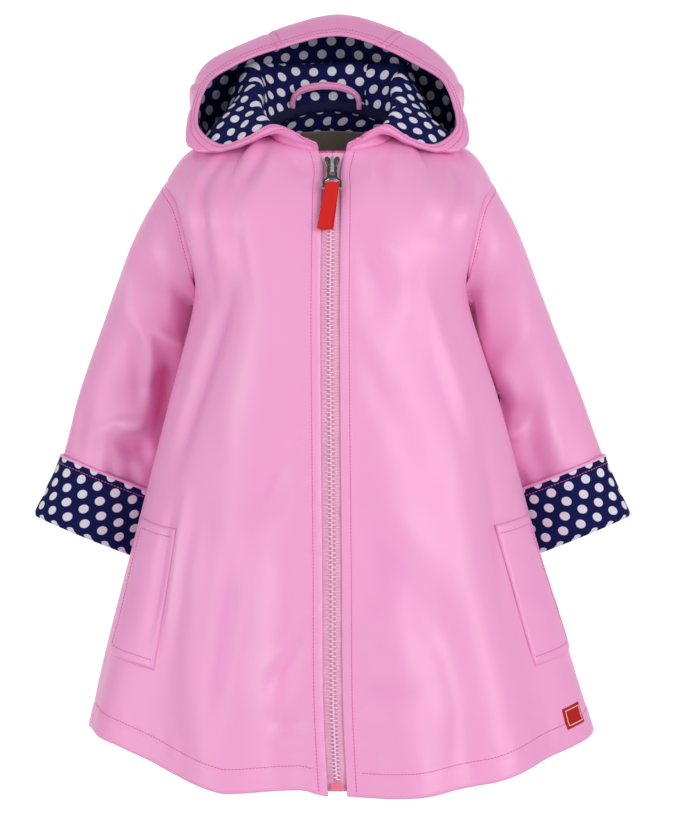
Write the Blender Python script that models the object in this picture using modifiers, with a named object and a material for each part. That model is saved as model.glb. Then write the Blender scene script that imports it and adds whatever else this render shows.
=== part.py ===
"""A toddler's hooded raincoat of coated cloth, hollow and filled out as when it is worn.

The neck, hem and cuffs are open. X runs to the wearer's left, Y to the back and Z up, and the origin is at the
base of the neck, where the wearer holds the coat up. Tables and functions are in millimetres. MM turns their
points into Blender's metres where a mesh is made.
"""

import math
from collections import namedtuple

import bmesh
import bpy
import numpy as np
from mathutils import Matrix

MM = 0.001
LEFT, RIGHT = 1, -1
FRONT, BACK = -1, 1

# Cloth
SHELL = 1.2
LINING = 1.0
TRIM = 1.6
SEAM_GAP = 0.3
LAYER_GAP = 0.5

# Neck opening, with the zip's exposed strip at the front
NECK_HALF = 55.0
NECK_SIDE_Y = 4.0
NECK_FRONT_Y, NECK_FRONT_Z = -50.0, -21.5
NECK_BACK_Y, NECK_BACK_Z = 48.0, 18.0
ZIP_HALF = 7.5
ZIP_FLARE = 3.1

# Shoulder seam. The pad rounds its outer part up.
SHOULDER_CENTRE = -2.5
SHOULDER_HALF = 122.5
SHOULDER_Y = 8.0
SHOULDER_DROP = 41.0
SHOULDER_CURVE = 2.1
SHOULDER_PAD = 4.6

# Share of a panel's top edge that is neck, the rest being shoulder seam, and its columns
PANEL_COLUMNS = 14
NECK_SHARE = 6 / PANEL_COLUMNS

# Armhole: a loop from the shoulder tip round to the underarm
UNDERARM_CENTRE = -1.0
UNDERARM_HALF = 102.0
UNDERARM_Z = -127.0
ARMHOLE_DEPTH = 35.0
ARMHOLE_HOLLOW = 6.0

# Sections of the body below its top edge. down is the distance along the cloth. arm is the armhole's turn from
# the shoulder tip, in degrees, where the section ends at the armhole. Elsewhere it ends at a side seam.
BodySection = namedtuple("BodySection", "down arm zip_x centre half side_z front_y front_z back_y back_z square")
BODY_SECTIONS = (
    BodySection(50, 60, -0.5, None, None, None, -68, -52, 68, -26, 2.5),
    BodySection(92, 120, -1.0, None, None, None, -79, -89, 78, -78, 2.4),
    BodySection(134, 180, -1.5, -1.0, 102, -127, -85, -128, 82, -127, 2.3),
    BodySection(219, None, -1.0, 1.5, 124.5, -210, -90, -220, 87, -218, 2.25),
    BodySection(312, None, 0.0, 2.0, 148, -300, -97, -320, 93, -318, 2.2),
    BodySection(412, None, 1.0, 3.8, 175, -400, -105, -432, 100, -430, 2.2),
    BodySection(477, None, 4.0, 6.0, 188, -452, -112, -491, 106, -490, 2.2),
)
BROW_DOWN = 14.0
UNDERARM_DOWN = BODY_SECTIONS[2].down
HEM_DOWN = BODY_SECTIONS[-1].down
HEM_CURVE = 1.4
# How far the hem is lifted off that curve, by the share across a panel
HEM_LIFTS = {
    RIGHT: {0: 0, 0.05: 4.5, 0.12: 2.8, 0.24: -1.8, 0.35: 2.5, 0.5: 8, 0.65: 11, 0.8: 11, 0.93: 6.5, 1: 2},
    LEFT: {0: 0, 0.08: -1.8, 0.16: -2.2, 0.25: 0, 0.37: 1, 0.47: 3.7, 0.56: 5.2, 0.7: 4.8, 0.88: 5.5, 1: 2},
}
HEM_LIFT_TOP = 330
BODY_ROWS = (0.6, 7, 16, 30, 50, 71, 92, 113, 134, 161, 190, 219, 250, 281, 312, 345, 379, 412, 446, HEM_DOWN)

# Flutes of the body. angle is degrees round from the centre front, with the wearer's left positive.
Flute = namedtuple("Flute", "angle spread height top full")
FLUTES = (
    Flute(-24, 9, 8.0, 150, 430),
    Flute(-8, 6, -4.5, 220, 450),
    Flute(13, 9, 8.0, 170, 440),
    Flute(36, 10, 5.0, 120, 400),
    Flute(27, 6, -4.0, 260, 450),
    Flute(-46, 11, -4.0, 180, 420),
    Flute(56, 9, -4.0, 200, 430),
    Flute(-66, 9, 4.0, 240, 440),
    Flute(76, 8, 3.5, 260, 450),
    Flute(-112, 12, 6.0, 150, 420),
    Flute(108, 11, 6.0, 170, 430),
    Flute(-135, 10, -6.0, 180, 430),
    Flute(131, 11, -6.5, 150, 430),
    Flute(-158, 11, 8.5, 120, 420),
    Flute(154, 10, 8.0, 140, 430),
    Flute(177, 9, -7.0, 200, 450),
)
ZIP_STIFFNESS = 6.0

# Sections of a sleeve below the armhole: its outer and inner edge, and its middle and half depth front to back
SleeveSection = namedtuple("SleeveSection", "down shift outer_x outer_z inner_x inner_z middle_y half_depth")
SLEEVE_SECTIONS = (
    SleeveSection(38, -3.5, 141.9, -75.7, 105.5, -131, 11, 37),
    SleeveSection(88, -3.7, 160.5, -120.5, 99, -142, 33, 36),
    SleeveSection(137, -3.1, 177.9, -165.5, 105, -190, 45, 33),
    SleeveSection(176, -1.9, 191.7, -201.8, 116, -229, 51, 30),
    SleeveSection(224, 0.5, 206.5, -248.5, 132, -278, 54, 27),
    SleeveSection(275, 0.0, 226.0, -293.0, 147.5, -325, 59, 28),
)
SLEEVE_COLUMNS = 22
CUFF_TOP = 224
SLEEVE_END = SLEEVE_SECTIONS[-1].down
SLEEVE_ROWS = (1.0, 12, 25, 40, 58, 76, 94, 112, 130, 148, 166, 185, 204, CUFF_TOP, 241, 258, SLEEVE_END)
SLEEVE_CLEARANCE = 1.2
CUFF_CLEARANCE = 5.0

# Folds of a sleeve. down and turn are the middle, turn in degrees from the outer edge towards the front. slant is
# the change of down over a turn of 90 degrees.
SleeveFold = namedtuple("SleeveFold", "side down turn width reach height slant")
SLEEVE_FOLDS = (
    SleeveFold(RIGHT, 118, 88, 9, 34, 4.0, 38),
    SleeveFold(RIGHT, 148, 118, 10, 34, -5.0, -26),
    SleeveFold(RIGHT, 182, 100, 9, 40, 4.5, -36),
    SleeveFold(RIGHT, 130, 250, 10, 60, -5.0, 20),
    SleeveFold(RIGHT, 60, 215, 9, 55, -4.5, -20),
    SleeveFold(LEFT, 128, 90, 10, 36, 3.0, 30),
    SleeveFold(LEFT, 168, 116, 11, 36, -3.5, -28),
    SleeveFold(LEFT, 120, 245, 10, 60, -5.0, -18),
    SleeveFold(LEFT, 70, 220, 9, 50, -4.0, 20),
)

# Hood. Each section runs from the neck seam up over an inner fold, down into a trough behind the neck, up the
# outer swell and over to the rim. turn is 0 at the zip and 1 at the centre back. Points are (out, back, up).
HoodSection = namedtuple("HoodSection", "turn inner_fold trough_in trough swell outer_fold rim")
HOOD_SECTIONS = (
    HoodSection(
        0, (10.9, -50.8, -20.1), (11.2, -51.2, -19.4), (11.6, -51.8, -18.6),
        (12, -52.6, -17.9), (12.4, -53.3, -17.2), (12.7, -53.6, -16.9)
    ),
    HoodSection(
        0.15, (30, -45.5, -14), (32, -48, -12), (34, -50.5, -9),
        (37.5, -51.5, -6.5), (40.5, -50, -4), (42, -48, -2.4)
    ),
    HoodSection(
        0.26, (43, -31, -4), (47, -34, -6), (53, -37.5, -12), (59, -41, -16.8), (61, -44.5, -14.9), (60, -43, -11.3)
    ),
    HoodSection(
        0.37, (51, -15, 8.5), (59, -18, 2), (70, -24, -11), (80, -29, -21.5), (83, -32.5, -19.6), (81, -31, -15.8)
    ),
    HoodSection(
        0.48, (52, 3, 22), (63, 3, 14), (81, -2, -1), (95, -8, -15), (104.5, -18, -14.5), (98, -13, 0.5)
    ),
    HoodSection(0.60, (54, 26, 35), (67, 30, 22), (85, 33, -8), (99, 33, -6), (101.5, 24, 26), (91, 9, 33)),
    HoodSection(0.72, (56, 45, 46), (68, 53, 26), (80, 63, -17), (97, 66, 4), (91, 45, 52), (70, 21, 49)),
    HoodSection(0.85, (31, 58, 49), (37, 68, 20), (44, 82, -30.5), (58, 89.5, 11.5), (52, 60, 75.8), (40, 30.5, 63)),
    HoodSection(1.00, (0, 62, 49), (0, 72, 20), (0, 86, -36), (0, 95, 16), (0, 68, 90.4), (0, 35, 73)),
)
HOOD_KNOTS = (0, 0.13, 0.25, 0.45, 0.66, 0.88, 1)
HOOD_SEAM_TURN = 0.845
HOOD_ROWS = (0, 0.05, 0.1, 0.14, 0.19, 0.26, 0.35, 0.44, 0.52, 0.60, 0.68, 0.76, 0.83, 0.89, 0.95, 1)
HOOD_SIDE_TURNS = (0, 0.05, 0.1, 0.15, 0.19, 0.22, 0.25, 0.28, 0.31, 0.34, 0.37, 0.41, 0.45, 0.5, 0.54, 0.58)
HOOD_SIDE_TURNS += (0.63, 0.67, 0.72, 0.77, HOOD_SEAM_TURN)
HOOD_CENTRE_COLUMNS = 8
HOOD_TURN_LENGTH = 300.0
# The walls draw closer on the inside of a bend, so the outer faces of the hood's seams start further apart
HOOD_SHELL_GAP = 1.2
HOOD_LINING_GAP = 2.6
NECK_SEAM_RISE = 0.9

# Trim, as shares of the panel that carries it. across is 0 at the centre line and 1 at the side seam. drift_in and
# drift_out are how far each edge moves across on its way down.
Patch = namedtuple("Patch", "across_in across_out top bottom drift_in drift_out", defaults=(0, 0))
WELTS = {RIGHT: Patch(0.56, 0.857, 302, 399, -0.008, -0.042), LEFT: Patch(0.593, 0.88, 300, 400, 0.049, 0.025)}
HEM_LABEL = Patch(0.716, 0.806, 442.5, 461.5)
FACING_HALF_TURN = 0.62
FACING_DOWN = 34
LABEL_HALF = 29.0
LABEL_CENTRE = 4.5
LABEL_TOP_DOWN, LABEL_BOTTOM_DOWN = 20, 48

LOOP_HALF = 27.0
LOOP_CENTRE = -5.0
LOOP_HEIGHT = 17.0
LOOP_WIDTH = 4.8
LOOP_AHEAD = 10.5

# Zip
TAPE = 1.0
TAPE_HALF = 11.0
TAPE_SPLIT = 0.3
CHAIN_HALF = 2.85
CHAIN_PROUD = 0.9
CHAIN_BACK = 1.6
ZIP_TOP = 3.0
ZIP_END = 473
BOX_HALF, BOX_HEIGHT, BOX_PROUD = 4.1, 6.5, 1.8
SLIDER_DOWN = 15.0
SLIDER_LENGTH = 16.0
SLIDER_HALF = 4.9
SLIDER_WAIST = 3.5
SLIDER_BACK, SLIDER_FACE = 1.8, 4.2
BRIDGE_HALF, BRIDGE_BAR = 1.2, 1.0
BRIDGE_TOP_DOWN, BRIDGE_END_DOWN, BRIDGE_RISE = 12.3, 24.8, 3.6
PULL_DOWN = 21.8
PULL_HEIGHT = 6.1
RING_HALF, RING_LENGTH, RING_BAR = 6.9, 17.7, 1.5
RING_NECK, RING_SHOULDER, RING_LEG, RING_HORN = 3.6, 10.2, 1.2, 2.5
RIBBON_HALF = 4.9
RIBBON_LENGTH = 33.2
RIBBON_PLY = 0.9
RING_CLEARANCE = 0.6
RIBBON_SLANT = -0.175
RIBBON_UP = (0, 0.21, 0.978)

PINK = (0.84, 0.36, 0.62)
PINK_DEEP = (0.78, 0.25, 0.52)
NAVY = (0.01, 0.012, 0.09)
TAPE_PINK = (0.88, 0.32, 0.52)
BOX_RED = (0.82, 0.12, 0.25)
LABEL_RED = (0.62, 0.012, 0.014)
RIBBON_RED = (0.74, 0.015, 0.012)
LABEL_TAN = (0.30, 0.26, 0.22)
STEEL = (0.42, 0.42, 0.44)


def through(knots, points, at):
    """Points on a smooth curve through the given ones, for each number in at. Each point may be an array."""
    knots, points, at = (np.asarray(values, float) for values in (knots, points, at))
    steps = np.diff(knots)
    wide = (-1,) + (1,) * (points.ndim - 1)
    rise = np.diff(points, axis=0) / steps.reshape(wide)
    before, after = steps[:-1].reshape(wide), steps[1:].reshape(wide)
    inner = (rise[:-1] * after + rise[1:] * before) / (before + after)
    slope = np.concatenate([rise[:1], inner, rise[-1:]])
    first = np.clip(np.searchsorted(knots, at, side="right") - 1, 0, len(steps) - 1)
    w = ((at - knots[first]) / steps[first]).reshape(wide)
    step = steps[first].reshape(wide)
    ease = w * w * (3 - 2 * w)
    leave = w * (1 - w) ** 2
    arrive = w * w * (w - 1)
    return (
        points[first] * (1 - ease)
        + points[first + 1] * ease
        + slope[first] * step * leave
        + slope[first + 1] * step * arrive
    )


def smooth_step(low, high, value):
    share = np.clip((np.asarray(value, float) - low) / (high - low), 0, 1)
    return share * share * (3 - 2 * share)


def xyz(x, y, z):
    return np.stack(np.broadcast_arrays(x, y, z), -1).astype(float)


# Body


def neck_curve(side, turn):
    """The neck seam, from the zip at turn 0 to the centre back at turn 1."""
    angle = np.asarray(turn, float) * math.pi
    ahead = np.cos(angle)
    in_front = ahead > 0
    edge = np.where(in_front, ZIP_HALF + ZIP_FLARE, 0.0)
    x = edge + (NECK_HALF - edge) * np.sin(angle)
    y = NECK_SIDE_Y + np.where(in_front, NECK_FRONT_Y - NECK_SIDE_Y, NECK_SIDE_Y - NECK_BACK_Y) * ahead
    z = np.where(in_front, NECK_FRONT_Z * np.abs(ahead) ** 1.5, NECK_BACK_Z * ahead**2)
    return xyz(side * x, y, z)


def shoulder_curve(side, share):
    """The shoulder seam, from the neck at share 0 to the armhole at share 1."""
    tip_x = SHOULDER_CENTRE + side * SHOULDER_HALF
    x = side * NECK_HALF + (tip_x - side * NECK_HALF) * share
    y = NECK_SIDE_Y + (SHOULDER_Y - NECK_SIDE_Y) * share
    pad = SHOULDER_PAD * np.sin(math.pi * np.clip((share - 0.6) / 0.4, 0, 1))
    return xyz(x, y, pad - SHOULDER_DROP * share**SHOULDER_CURVE)


def top_edge(side, face, across):
    on_neck = np.clip(across / NECK_SHARE, 0, 1) / 2
    on_shoulder = np.clip((across - NECK_SHARE) / (1 - NECK_SHARE), 0, 1)
    neck = neck_curve(side, on_neck if face == FRONT else 1 - on_neck)
    return np.where((across > NECK_SHARE)[:, None], shoulder_curve(side, on_shoulder), neck)


def brow(side, face, across):
    """A line just below the top edge, which rounds the cloth over the shoulder."""
    w = smooth_step(0, NECK_SHARE, across)
    spread = 5 * np.sin(math.pi * np.clip(across / NECK_SHARE, 0, 1)) - ZIP_FLARE * (1 - smooth_step(0, 0.1, across))
    offset = xyz(side * spread, face * (6 + 7 * w), -11.5 + 7.5 * w)
    return top_edge(side, face, across) + offset


def armhole_point(side, face, turn):
    """A point of the armhole, turn degrees from the shoulder tip."""
    angle = math.radians(turn)
    tip = np.array([SHOULDER_CENTRE + side * SHOULDER_HALF, SHOULDER_Y, -SHOULDER_DROP])
    underarm = np.array([UNDERARM_CENTRE + side * UNDERARM_HALF, 0, UNDERARM_Z])
    around = math.sin(angle)
    reach = np.array([-side * ARMHOLE_HOLLOW * around**2, face * ARMHOLE_DEPTH * around, 0])
    return (tip + underarm) / 2 + (tip - underarm) / 2 * math.cos(angle) + reach


def section_line(section, side, face, across):
    """One section of the body, from the centre line at across 0 to the armhole or side seam at across 1."""
    if section.arm is None or section.arm == 180:
        end = np.array([section.centre + side * section.half, 0, section.side_z])
    else:
        end = armhole_point(side, face, section.arm)
    if face == FRONT:
        middle = (section.zip_x + side * ZIP_HALF, section.front_y, section.front_z)
    else:
        centre = SHOULDER_CENTRE if section.centre is None else section.centre
        middle = (centre, section.back_y, section.back_z)
    angle = across * math.pi / 2
    aside = np.sin(angle) ** (2 / section.square)
    ahead = np.clip(np.cos(angle), 0, 1) ** (2 / section.square)
    x = middle[0] + (end[0] - middle[0]) * aside
    y = end[1] + (middle[1] - end[1]) * ahead
    z = end[2] + (middle[2] - end[2]) * ahead**HEM_CURVE
    return xyz(x, y, z)


def flute_height(angle, down):
    """How far the flutes lift the cloth at an angle round the body, in degrees."""
    height = 0.0
    for flute in FLUTES:
        away = (angle - flute.angle + 180) % 360 - 180
        height = height + flute.height * np.exp(-((away / flute.spread) ** 2)) * smooth_step(
            flute.top, flute.full, down
        )
    return height * (1 - np.exp(-((angle / ZIP_STIFFNESS) ** 2)))


def seam_drift(side, face, down, knots):
    """How far the curve through the armhole would carry the side seam off its own line."""
    end = np.array([1.0])
    lines = [top_edge(side, face, end), brow(side, face, end)]
    lines += [section_line(section, side, face, end) for section in BODY_SECTIONS]
    return through(knots, lines, down)[:, 0, 1]


def body_points(side, face, across, down):
    """Rows of points on the body's outer face: one row for each down, one column for each across."""
    across, down = np.asarray(across, float), np.asarray(down, float)
    knots = [0, BROW_DOWN] + [section.down for section in BODY_SECTIONS]
    lines = [top_edge(side, face, across), brow(side, face, across)]
    lines += [section_line(section, side, face, across) for section in BODY_SECTIONS]
    points = through(knots, lines, down)
    points[..., 1] -= np.where(down > UNDERARM_DOWN, seam_drift(side, face, down, knots), 0)[:, None] * across**6
    angle = across * 90 if face == FRONT else 180 - across * 90
    lifts = HEM_LIFTS[side]
    raised = np.interp(across, list(lifts), list(lifts.values()))
    if face == BACK:
        raised *= smooth_step(0.3, 0.5, across)
    points[..., 2] += smooth_step(HEM_LIFT_TOP, 2 * HEM_DOWN - HEM_LIFT_TOP, down)[:, None] * 2 * raised
    lift = flute_height(side * angle[None, :], down[:, None])
    turned = np.radians(angle)
    away = xyz(side * np.sin(turned), -np.cos(turned), 0.0)
    return points + lift[..., None] * away[None]


def panel_across():
    columns = np.arange(PANEL_COLUMNS + 1) / PANEL_COLUMNS
    columns[-1] -= SEAM_GAP / 300
    return columns


def front_panel(side):
    return body_points(side, FRONT, panel_across(), BODY_ROWS)


def back_panel():
    """The back in one piece, from the wearer's right side seam to the left."""
    right = body_points(RIGHT, BACK, panel_across(), BODY_ROWS)[:, ::-1]
    left = body_points(LEFT, BACK, panel_across(), BODY_ROWS)
    return np.concatenate([right[:, :-1], left], 1)


def armhole_loop(side, turns):
    """The armhole as the panels have it. Turns run from the shoulder tip over the front to the underarm."""
    arm_turns = [0, 20] + [section.arm for section in BODY_SECTIONS[:3]]
    downs = [0, BROW_DOWN] + [section.down for section in BODY_SECTIONS[:3]]
    loop = []
    for turn in turns:
        face = FRONT if turn <= 180 else BACK
        down = np.interp(min(turn, 360 - turn), arm_turns, downs)
        loop.append(body_points(side, face, [1.0], [down])[0, 0])
    return np.array(loop)


# Sleeves


def half_width_at(y, z):
    """Half the body's width at a height and a distance behind its middle, without flutes."""
    rings = BODY_SECTIONS[2:]
    heights = [-ring.side_z for ring in rings]
    half = np.interp(-z, heights, [ring.half for ring in rings])
    depth = np.interp(-z, heights, [ring.back_y for ring in rings])
    square = rings[0].square
    return half * np.clip(1 - np.abs(y / depth) ** square, 0, 1) ** (1 / square)


def sleeve_points(side, turns, down):
    """Rows of points on a sleeve's outer face, one row for each down."""
    turns, down = np.asarray(turns, float), np.asarray(down, float)
    rings = [armhole_loop(side, turns)]
    angle = np.radians(turns)
    for section in SLEEVE_SECTIONS:
        outer = np.array([section.shift + side * section.outer_x, section.middle_y, section.outer_z])
        inner = np.array([section.shift + side * section.inner_x, section.middle_y, section.inner_z])
        ring = (outer + inner) / 2 + np.cos(angle)[:, None] * (outer - inner) / 2
        ring[:, 1] -= section.half_depth * np.sin(angle)
        rings.append(ring)
    points = through([0] + [section.down for section in SLEEVE_SECTIONS], rings, down)
    middle = points.mean(1, keepdims=True)
    away = points - middle
    away /= np.linalg.norm(away, axis=-1, keepdims=True)
    lift = np.zeros(points.shape[:2])
    for fold in SLEEVE_FOLDS:
        if fold.side == side:
            aside = turns[None, :] - fold.turn
            along = down[:, None] - fold.down - fold.slant * aside / 90
            lift += fold.height * np.exp(-((along / fold.width) ** 2) - (aside / fold.reach) ** 2)
    points = points + lift[..., None] * away
    return clear_of_body(side, points, down)


def clear_of_body(side, points, down):
    centre = np.interp(-points[..., 2], [127, 210, 300, 400], [-1.0, 1.5, 2.0, 3.8])
    clearance = SLEEVE_CLEARANCE * smooth_step(10, 60, down) + (
        CUFF_CLEARANCE - SLEEVE_CLEARANCE
    ) * smooth_step(CUFF_TOP - 30, CUFF_TOP, down)
    least = half_width_at(points[..., 1], points[..., 2]) + clearance[:, None]
    out = side * (points[..., 0] - centre)
    below = points[..., 2] < UNDERARM_Z
    points[..., 0] = np.where(below & (out < least), centre + side * least, points[..., 0])
    return points


def sleeve_turns():
    return np.arange(SLEEVE_COLUMNS) * 360 / SLEEVE_COLUMNS


# Hood


def hood_lean(turn, z):
    """How far the hood sags to the wearer's right at its sides, and to the left at its top."""
    return (7.5 * smooth_step(50, 75, z) - smooth_step(-10, 20, z) - 3.5) * smooth_step(0, 0.3, turn)


def hood_points(side, turn, rows):
    """Rows of points on the hood's outer face from the neck seam to the rim, one column for each turn."""
    turn = np.asarray(turn, float)
    neck = neck_curve(side, turn) + (0, 0, NECK_SEAM_RISE)
    turns = [section.turn for section in HOOD_SECTIONS] + [2 - HOOD_SECTIONS[-2].turn]
    lines = [neck]
    for name in HoodSection._fields[1:]:
        points = [getattr(section, name) for section in HOOD_SECTIONS]
        line = through(turns, points + [np.multiply(points[-2], (-1, 1, 1))], turn)
        lines.append(xyz(side * line[:, 0] + hood_lean(turn, line[:, 2]), line[:, 1], line[:, 2]))
    return through(HOOD_KNOTS, lines, rows)


def hood_side(side, gap):
    turns = np.array(HOOD_SIDE_TURNS)
    turns[-1] -= gap / 2 / HOOD_TURN_LENGTH
    return hood_points(side, turns, HOOD_ROWS)


def hood_centre(gap):
    half = np.linspace(HOOD_SEAM_TURN, 1, HOOD_CENTRE_COLUMNS // 2 + 1)
    half[0] += gap / 2 / HOOD_TURN_LENGTH
    right = hood_points(RIGHT, half, HOOD_ROWS)
    left = hood_points(LEFT, half, HOOD_ROWS)[:, ::-1]
    return np.concatenate([right[:, :-1], left], 1)


# Meshes


def finish(name, colour, roughness, metallic):
    material = bpy.data.materials.new(name)
    material.use_nodes = True
    shader = material.node_tree.nodes["Principled BSDF"]
    shader.inputs["Base Color"].default_value = (*colour, 1)
    shader.inputs["Roughness"].default_value = roughness
    shader.inputs["Metallic"].default_value = metallic
    return material


def add_object(name, data, material, coat):
    piece = bpy.data.objects.new(name, data)
    data.materials.append(material)
    coat.objects.link(piece)
    return piece


def grid_mesh(name, points, closed, flip):
    """A mesh of rows and columns of points, in triangles so that every layer of cloth bends along the same lines.

    closed joins the last column to the first.
    """
    mesh = bpy.data.meshes.new(name)
    bm = bmesh.new()
    rows = [[bm.verts.new(point * MM) for point in row] for row in points]
    columns = len(rows[0])
    for upper, lower in zip(rows, rows[1:]):
        for i in range(columns if closed else columns - 1):
            j = (i + 1) % columns
            for corners in ((upper[i], upper[j], lower[j]), (upper[i], lower[j], lower[i])):
                bm.faces.new(corners[::-1] if flip else corners)
    bm.to_mesh(mesh)
    bm.free()
    mesh.shade_smooth()
    return mesh


def cloth(name, points, material, coat, wall, depth=0.0, closed=False, flip=False):
    """A wall of cloth whose outer face lies depth below the face that the points give."""
    piece = add_object(name, grid_mesh(name, points, closed, flip), material, coat)
    thicken = piece.modifiers.new("Wall", "SOLIDIFY")
    thicken.thickness = wall * MM
    thicken.offset = -1 - 2 * depth / wall
    return piece


def patch_of(grid, columns, rows, patch):
    """The part of a panel inside a patch, read from the panel's own points so that it lies flat on them."""
    low, high = patch.across_in + max(patch.drift_in, 0), patch.across_out + min(patch.drift_out, 0)
    between = inside(columns, low, high)[1:-1]
    piece = []
    for down in inside(rows, patch.top, patch.bottom):
        share = (down - patch.top) / (patch.bottom - patch.top)
        across = [patch.across_in + patch.drift_in * share, *between, patch.across_out + patch.drift_out * share]
        level = [[np.interp(down, rows, grid[:, i, k]) for k in range(3)] for i in range(len(columns))]
        piece.append([[np.interp(a, columns, [point[k] for point in level]) for k in range(3)] for a in across])
    return np.array(piece)


def inside(values, low, high):
    return [low] + [value for value in values if low < value < high] + [high]


def plate(name, material, coat, outline, thickness, bevel=0.0, holes=()):
    """A flat plate from outlines in its own plane, thickness through its middle."""
    curve = bpy.data.curves.new(name, "CURVE")
    curve.dimensions = "2D"
    curve.fill_mode = "BOTH"
    curve.extrude = (thickness / 2 - bevel) * MM
    curve.bevel_depth = bevel * MM
    curve.bevel_resolution = 1
    for points in (outline, *holes):
        spline = curve.splines.new("POLY")
        spline.points.add(len(points) - 1)
        for point, (x, y) in zip(spline.points, points):
            point.co = (x * MM, y * MM, 0, 1)
        spline.use_cyclic_u = True
    return add_object(name, curve, material, coat)


# The zip's line


def zip_line(down):
    """Points on the zip's middle at the height of the cloth's outer face."""
    left = body_points(LEFT, FRONT, [0.0], down)[:, 0]
    right = body_points(RIGHT, FRONT, [0.0], down)[:, 0]
    return (left + right) / 2


def zip_frame(down):
    """The zip's place and its directions across, up along the zip and out of the cloth."""
    above, here, below = zip_line([down - 4, down, down + 4])
    up = (above - below) / np.linalg.norm(above - below)
    across = np.array([1.0, 0, 0])
    up[0] = 0
    up /= np.linalg.norm(up)
    out = np.cross(across, up)
    return here, across, up, out


def slider_outline():
    """The slider's plate in its own plane: two wings at the top over a narrower body."""
    half, top, waist = SLIDER_HALF, SLIDER_LENGTH / 2, SLIDER_WAIST
    right = [(1.2, top - 3.5), (half - 1.2, top - 0.4), (half + 0.2, top - 1.6), (half + 0.4, top - 4)]
    right += [(waist + 0.6, top - 7), (waist, -1), (waist, -top + 1), (waist - 0.8, -top)]
    return right + [(-x, y) for x, y in right[::-1]]


def ring_outlines():
    """The pull's outlines in its own plane: the outer one, the hole for the bridge and the slot for the ribbon."""
    half, end, bar = RING_HALF, -RING_LENGTH, RING_BAR
    neck, shoulder, leg, horn = RING_NECK, -RING_SHOULDER, RING_LEG, RING_HORN
    outer = [(neck - 0.8, 0), (neck, -1), (neck, shoulder), (half, shoulder - 3.4), (half, end - horn)]
    outer += [(half - leg, end - horn), (half - leg, end)]
    hole = [(neck - bar, -bar), (neck - bar, -8.7)]
    slot = [(neck - bar + 0.6, shoulder - 1.5), (half - leg - 0.1, shoulder - 4), (half - leg - 0.1, end + bar)]
    return [right + [(-x, y) for x, y in right[::-1]] for right in (outer, hole, slot)]


def zip_strip(down, offsets):
    """Rows down the zip, with a column for each offset across it."""
    line = zip_line(down)
    return np.array([[point + (offset, 0, 0) for offset in offsets] for point in line])


def placed(piece, down, height, on_edge=False):
    """Puts a plate on the zip, its face outwards and its own Y up along the zip, or on edge with its Y outwards."""
    here, across, up, out = zip_frame(down)
    matrix = Matrix.Identity(4)
    for column, axis in enumerate((up, out, across) if on_edge else (across, up, out)):
        for row in range(3):
            matrix[row][column] = axis[row]
    matrix.translation = (here + out * height) * MM
    piece.matrix_world = matrix


# Pieces


def make_body(coat, pink):
    for side, name in ((LEFT, "front_left"), (RIGHT, "front_right")):
        cloth(name, front_panel(side), pink, coat, SHELL, flip=side == LEFT)
    cloth("back", back_panel(), pink, coat, SHELL)


def make_sleeves(coat, pink, dotted):
    first_cuff_row = SLEEVE_ROWS.index(CUFF_TOP)
    for side, name in ((LEFT, "left"), (RIGHT, "right")):
        points = sleeve_points(side, sleeve_turns(), SLEEVE_ROWS)
        cloth(f"sleeve_{name}", points, pink, coat, SHELL, closed=True, flip=side == RIGHT)
        cuff = points[first_cuff_row:]
        cloth(f"cuff_{name}", cuff, dotted, coat, TRIM, -(TRIM + LAYER_GAP), closed=True, flip=side == RIGHT)


def make_hood(coat, pink, dotted):
    for side, name in ((LEFT, "left"), (RIGHT, "right")):
        flip = side == RIGHT
        cloth(f"hood_side_{name}", hood_side(side, HOOD_SHELL_GAP), pink, coat, SHELL, flip=flip)
        lining = hood_side(side, HOOD_LINING_GAP)
        cloth(f"hood_lining_{name}", lining, dotted, coat, LINING, SHELL + SEAM_GAP, flip=flip)
    cloth("hood_centre", hood_centre(HOOD_SHELL_GAP), pink, coat, SHELL, flip=True)
    lining = hood_centre(HOOD_LINING_GAP)
    cloth("hood_lining_centre", lining, dotted, coat, LINING, SHELL + SEAM_GAP, flip=True)


def make_neck(coat, pink, dotted, tan):
    back = back_panel()
    half = panel_across()
    columns = np.concatenate([-half[:0:-1], half])
    reach = FACING_HALF_TURN * NECK_SHARE
    facing = patch_of(back, columns, BODY_ROWS, Patch(-reach, reach, BODY_ROWS[0], FACING_DOWN))
    cloth("neck_facing", facing, dotted, coat, LINING, SHELL + LAYER_GAP)
    middle_row = back[np.searchsorted(BODY_ROWS, LABEL_TOP_DOWN)]
    low, high = np.interp((LABEL_CENTRE - LABEL_HALF, LABEL_CENTRE + LABEL_HALF), middle_row[:, 0], columns)
    label = patch_of(back, columns, BODY_ROWS, Patch(low, high, LABEL_TOP_DOWN, LABEL_BOTTOM_DOWN))
    cloth("neck_label", label, tan, coat, 1.0, SHELL + LINING + 2 * LAYER_GAP)
    angles = np.linspace(0, math.pi, 13)
    foot = neck_curve(LEFT, 1.0) + (LOOP_CENTRE, -LOOP_AHEAD, 0.5)
    arch = [foot + (LOOP_HALF * math.cos(a), -3 * math.sin(a), LOOP_HEIGHT * math.sin(a) ** 0.8) for a in angles]
    inward = [np.array([-math.cos(a) * 0.75, 0, -math.sin(a)]) * LOOP_WIDTH for a in angles]
    strip = np.array([arch, [point + reach_in for point, reach_in in zip(arch, inward)]])
    cloth("hanger_loop", strip, pink, coat, 1.2, flip=False)


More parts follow.
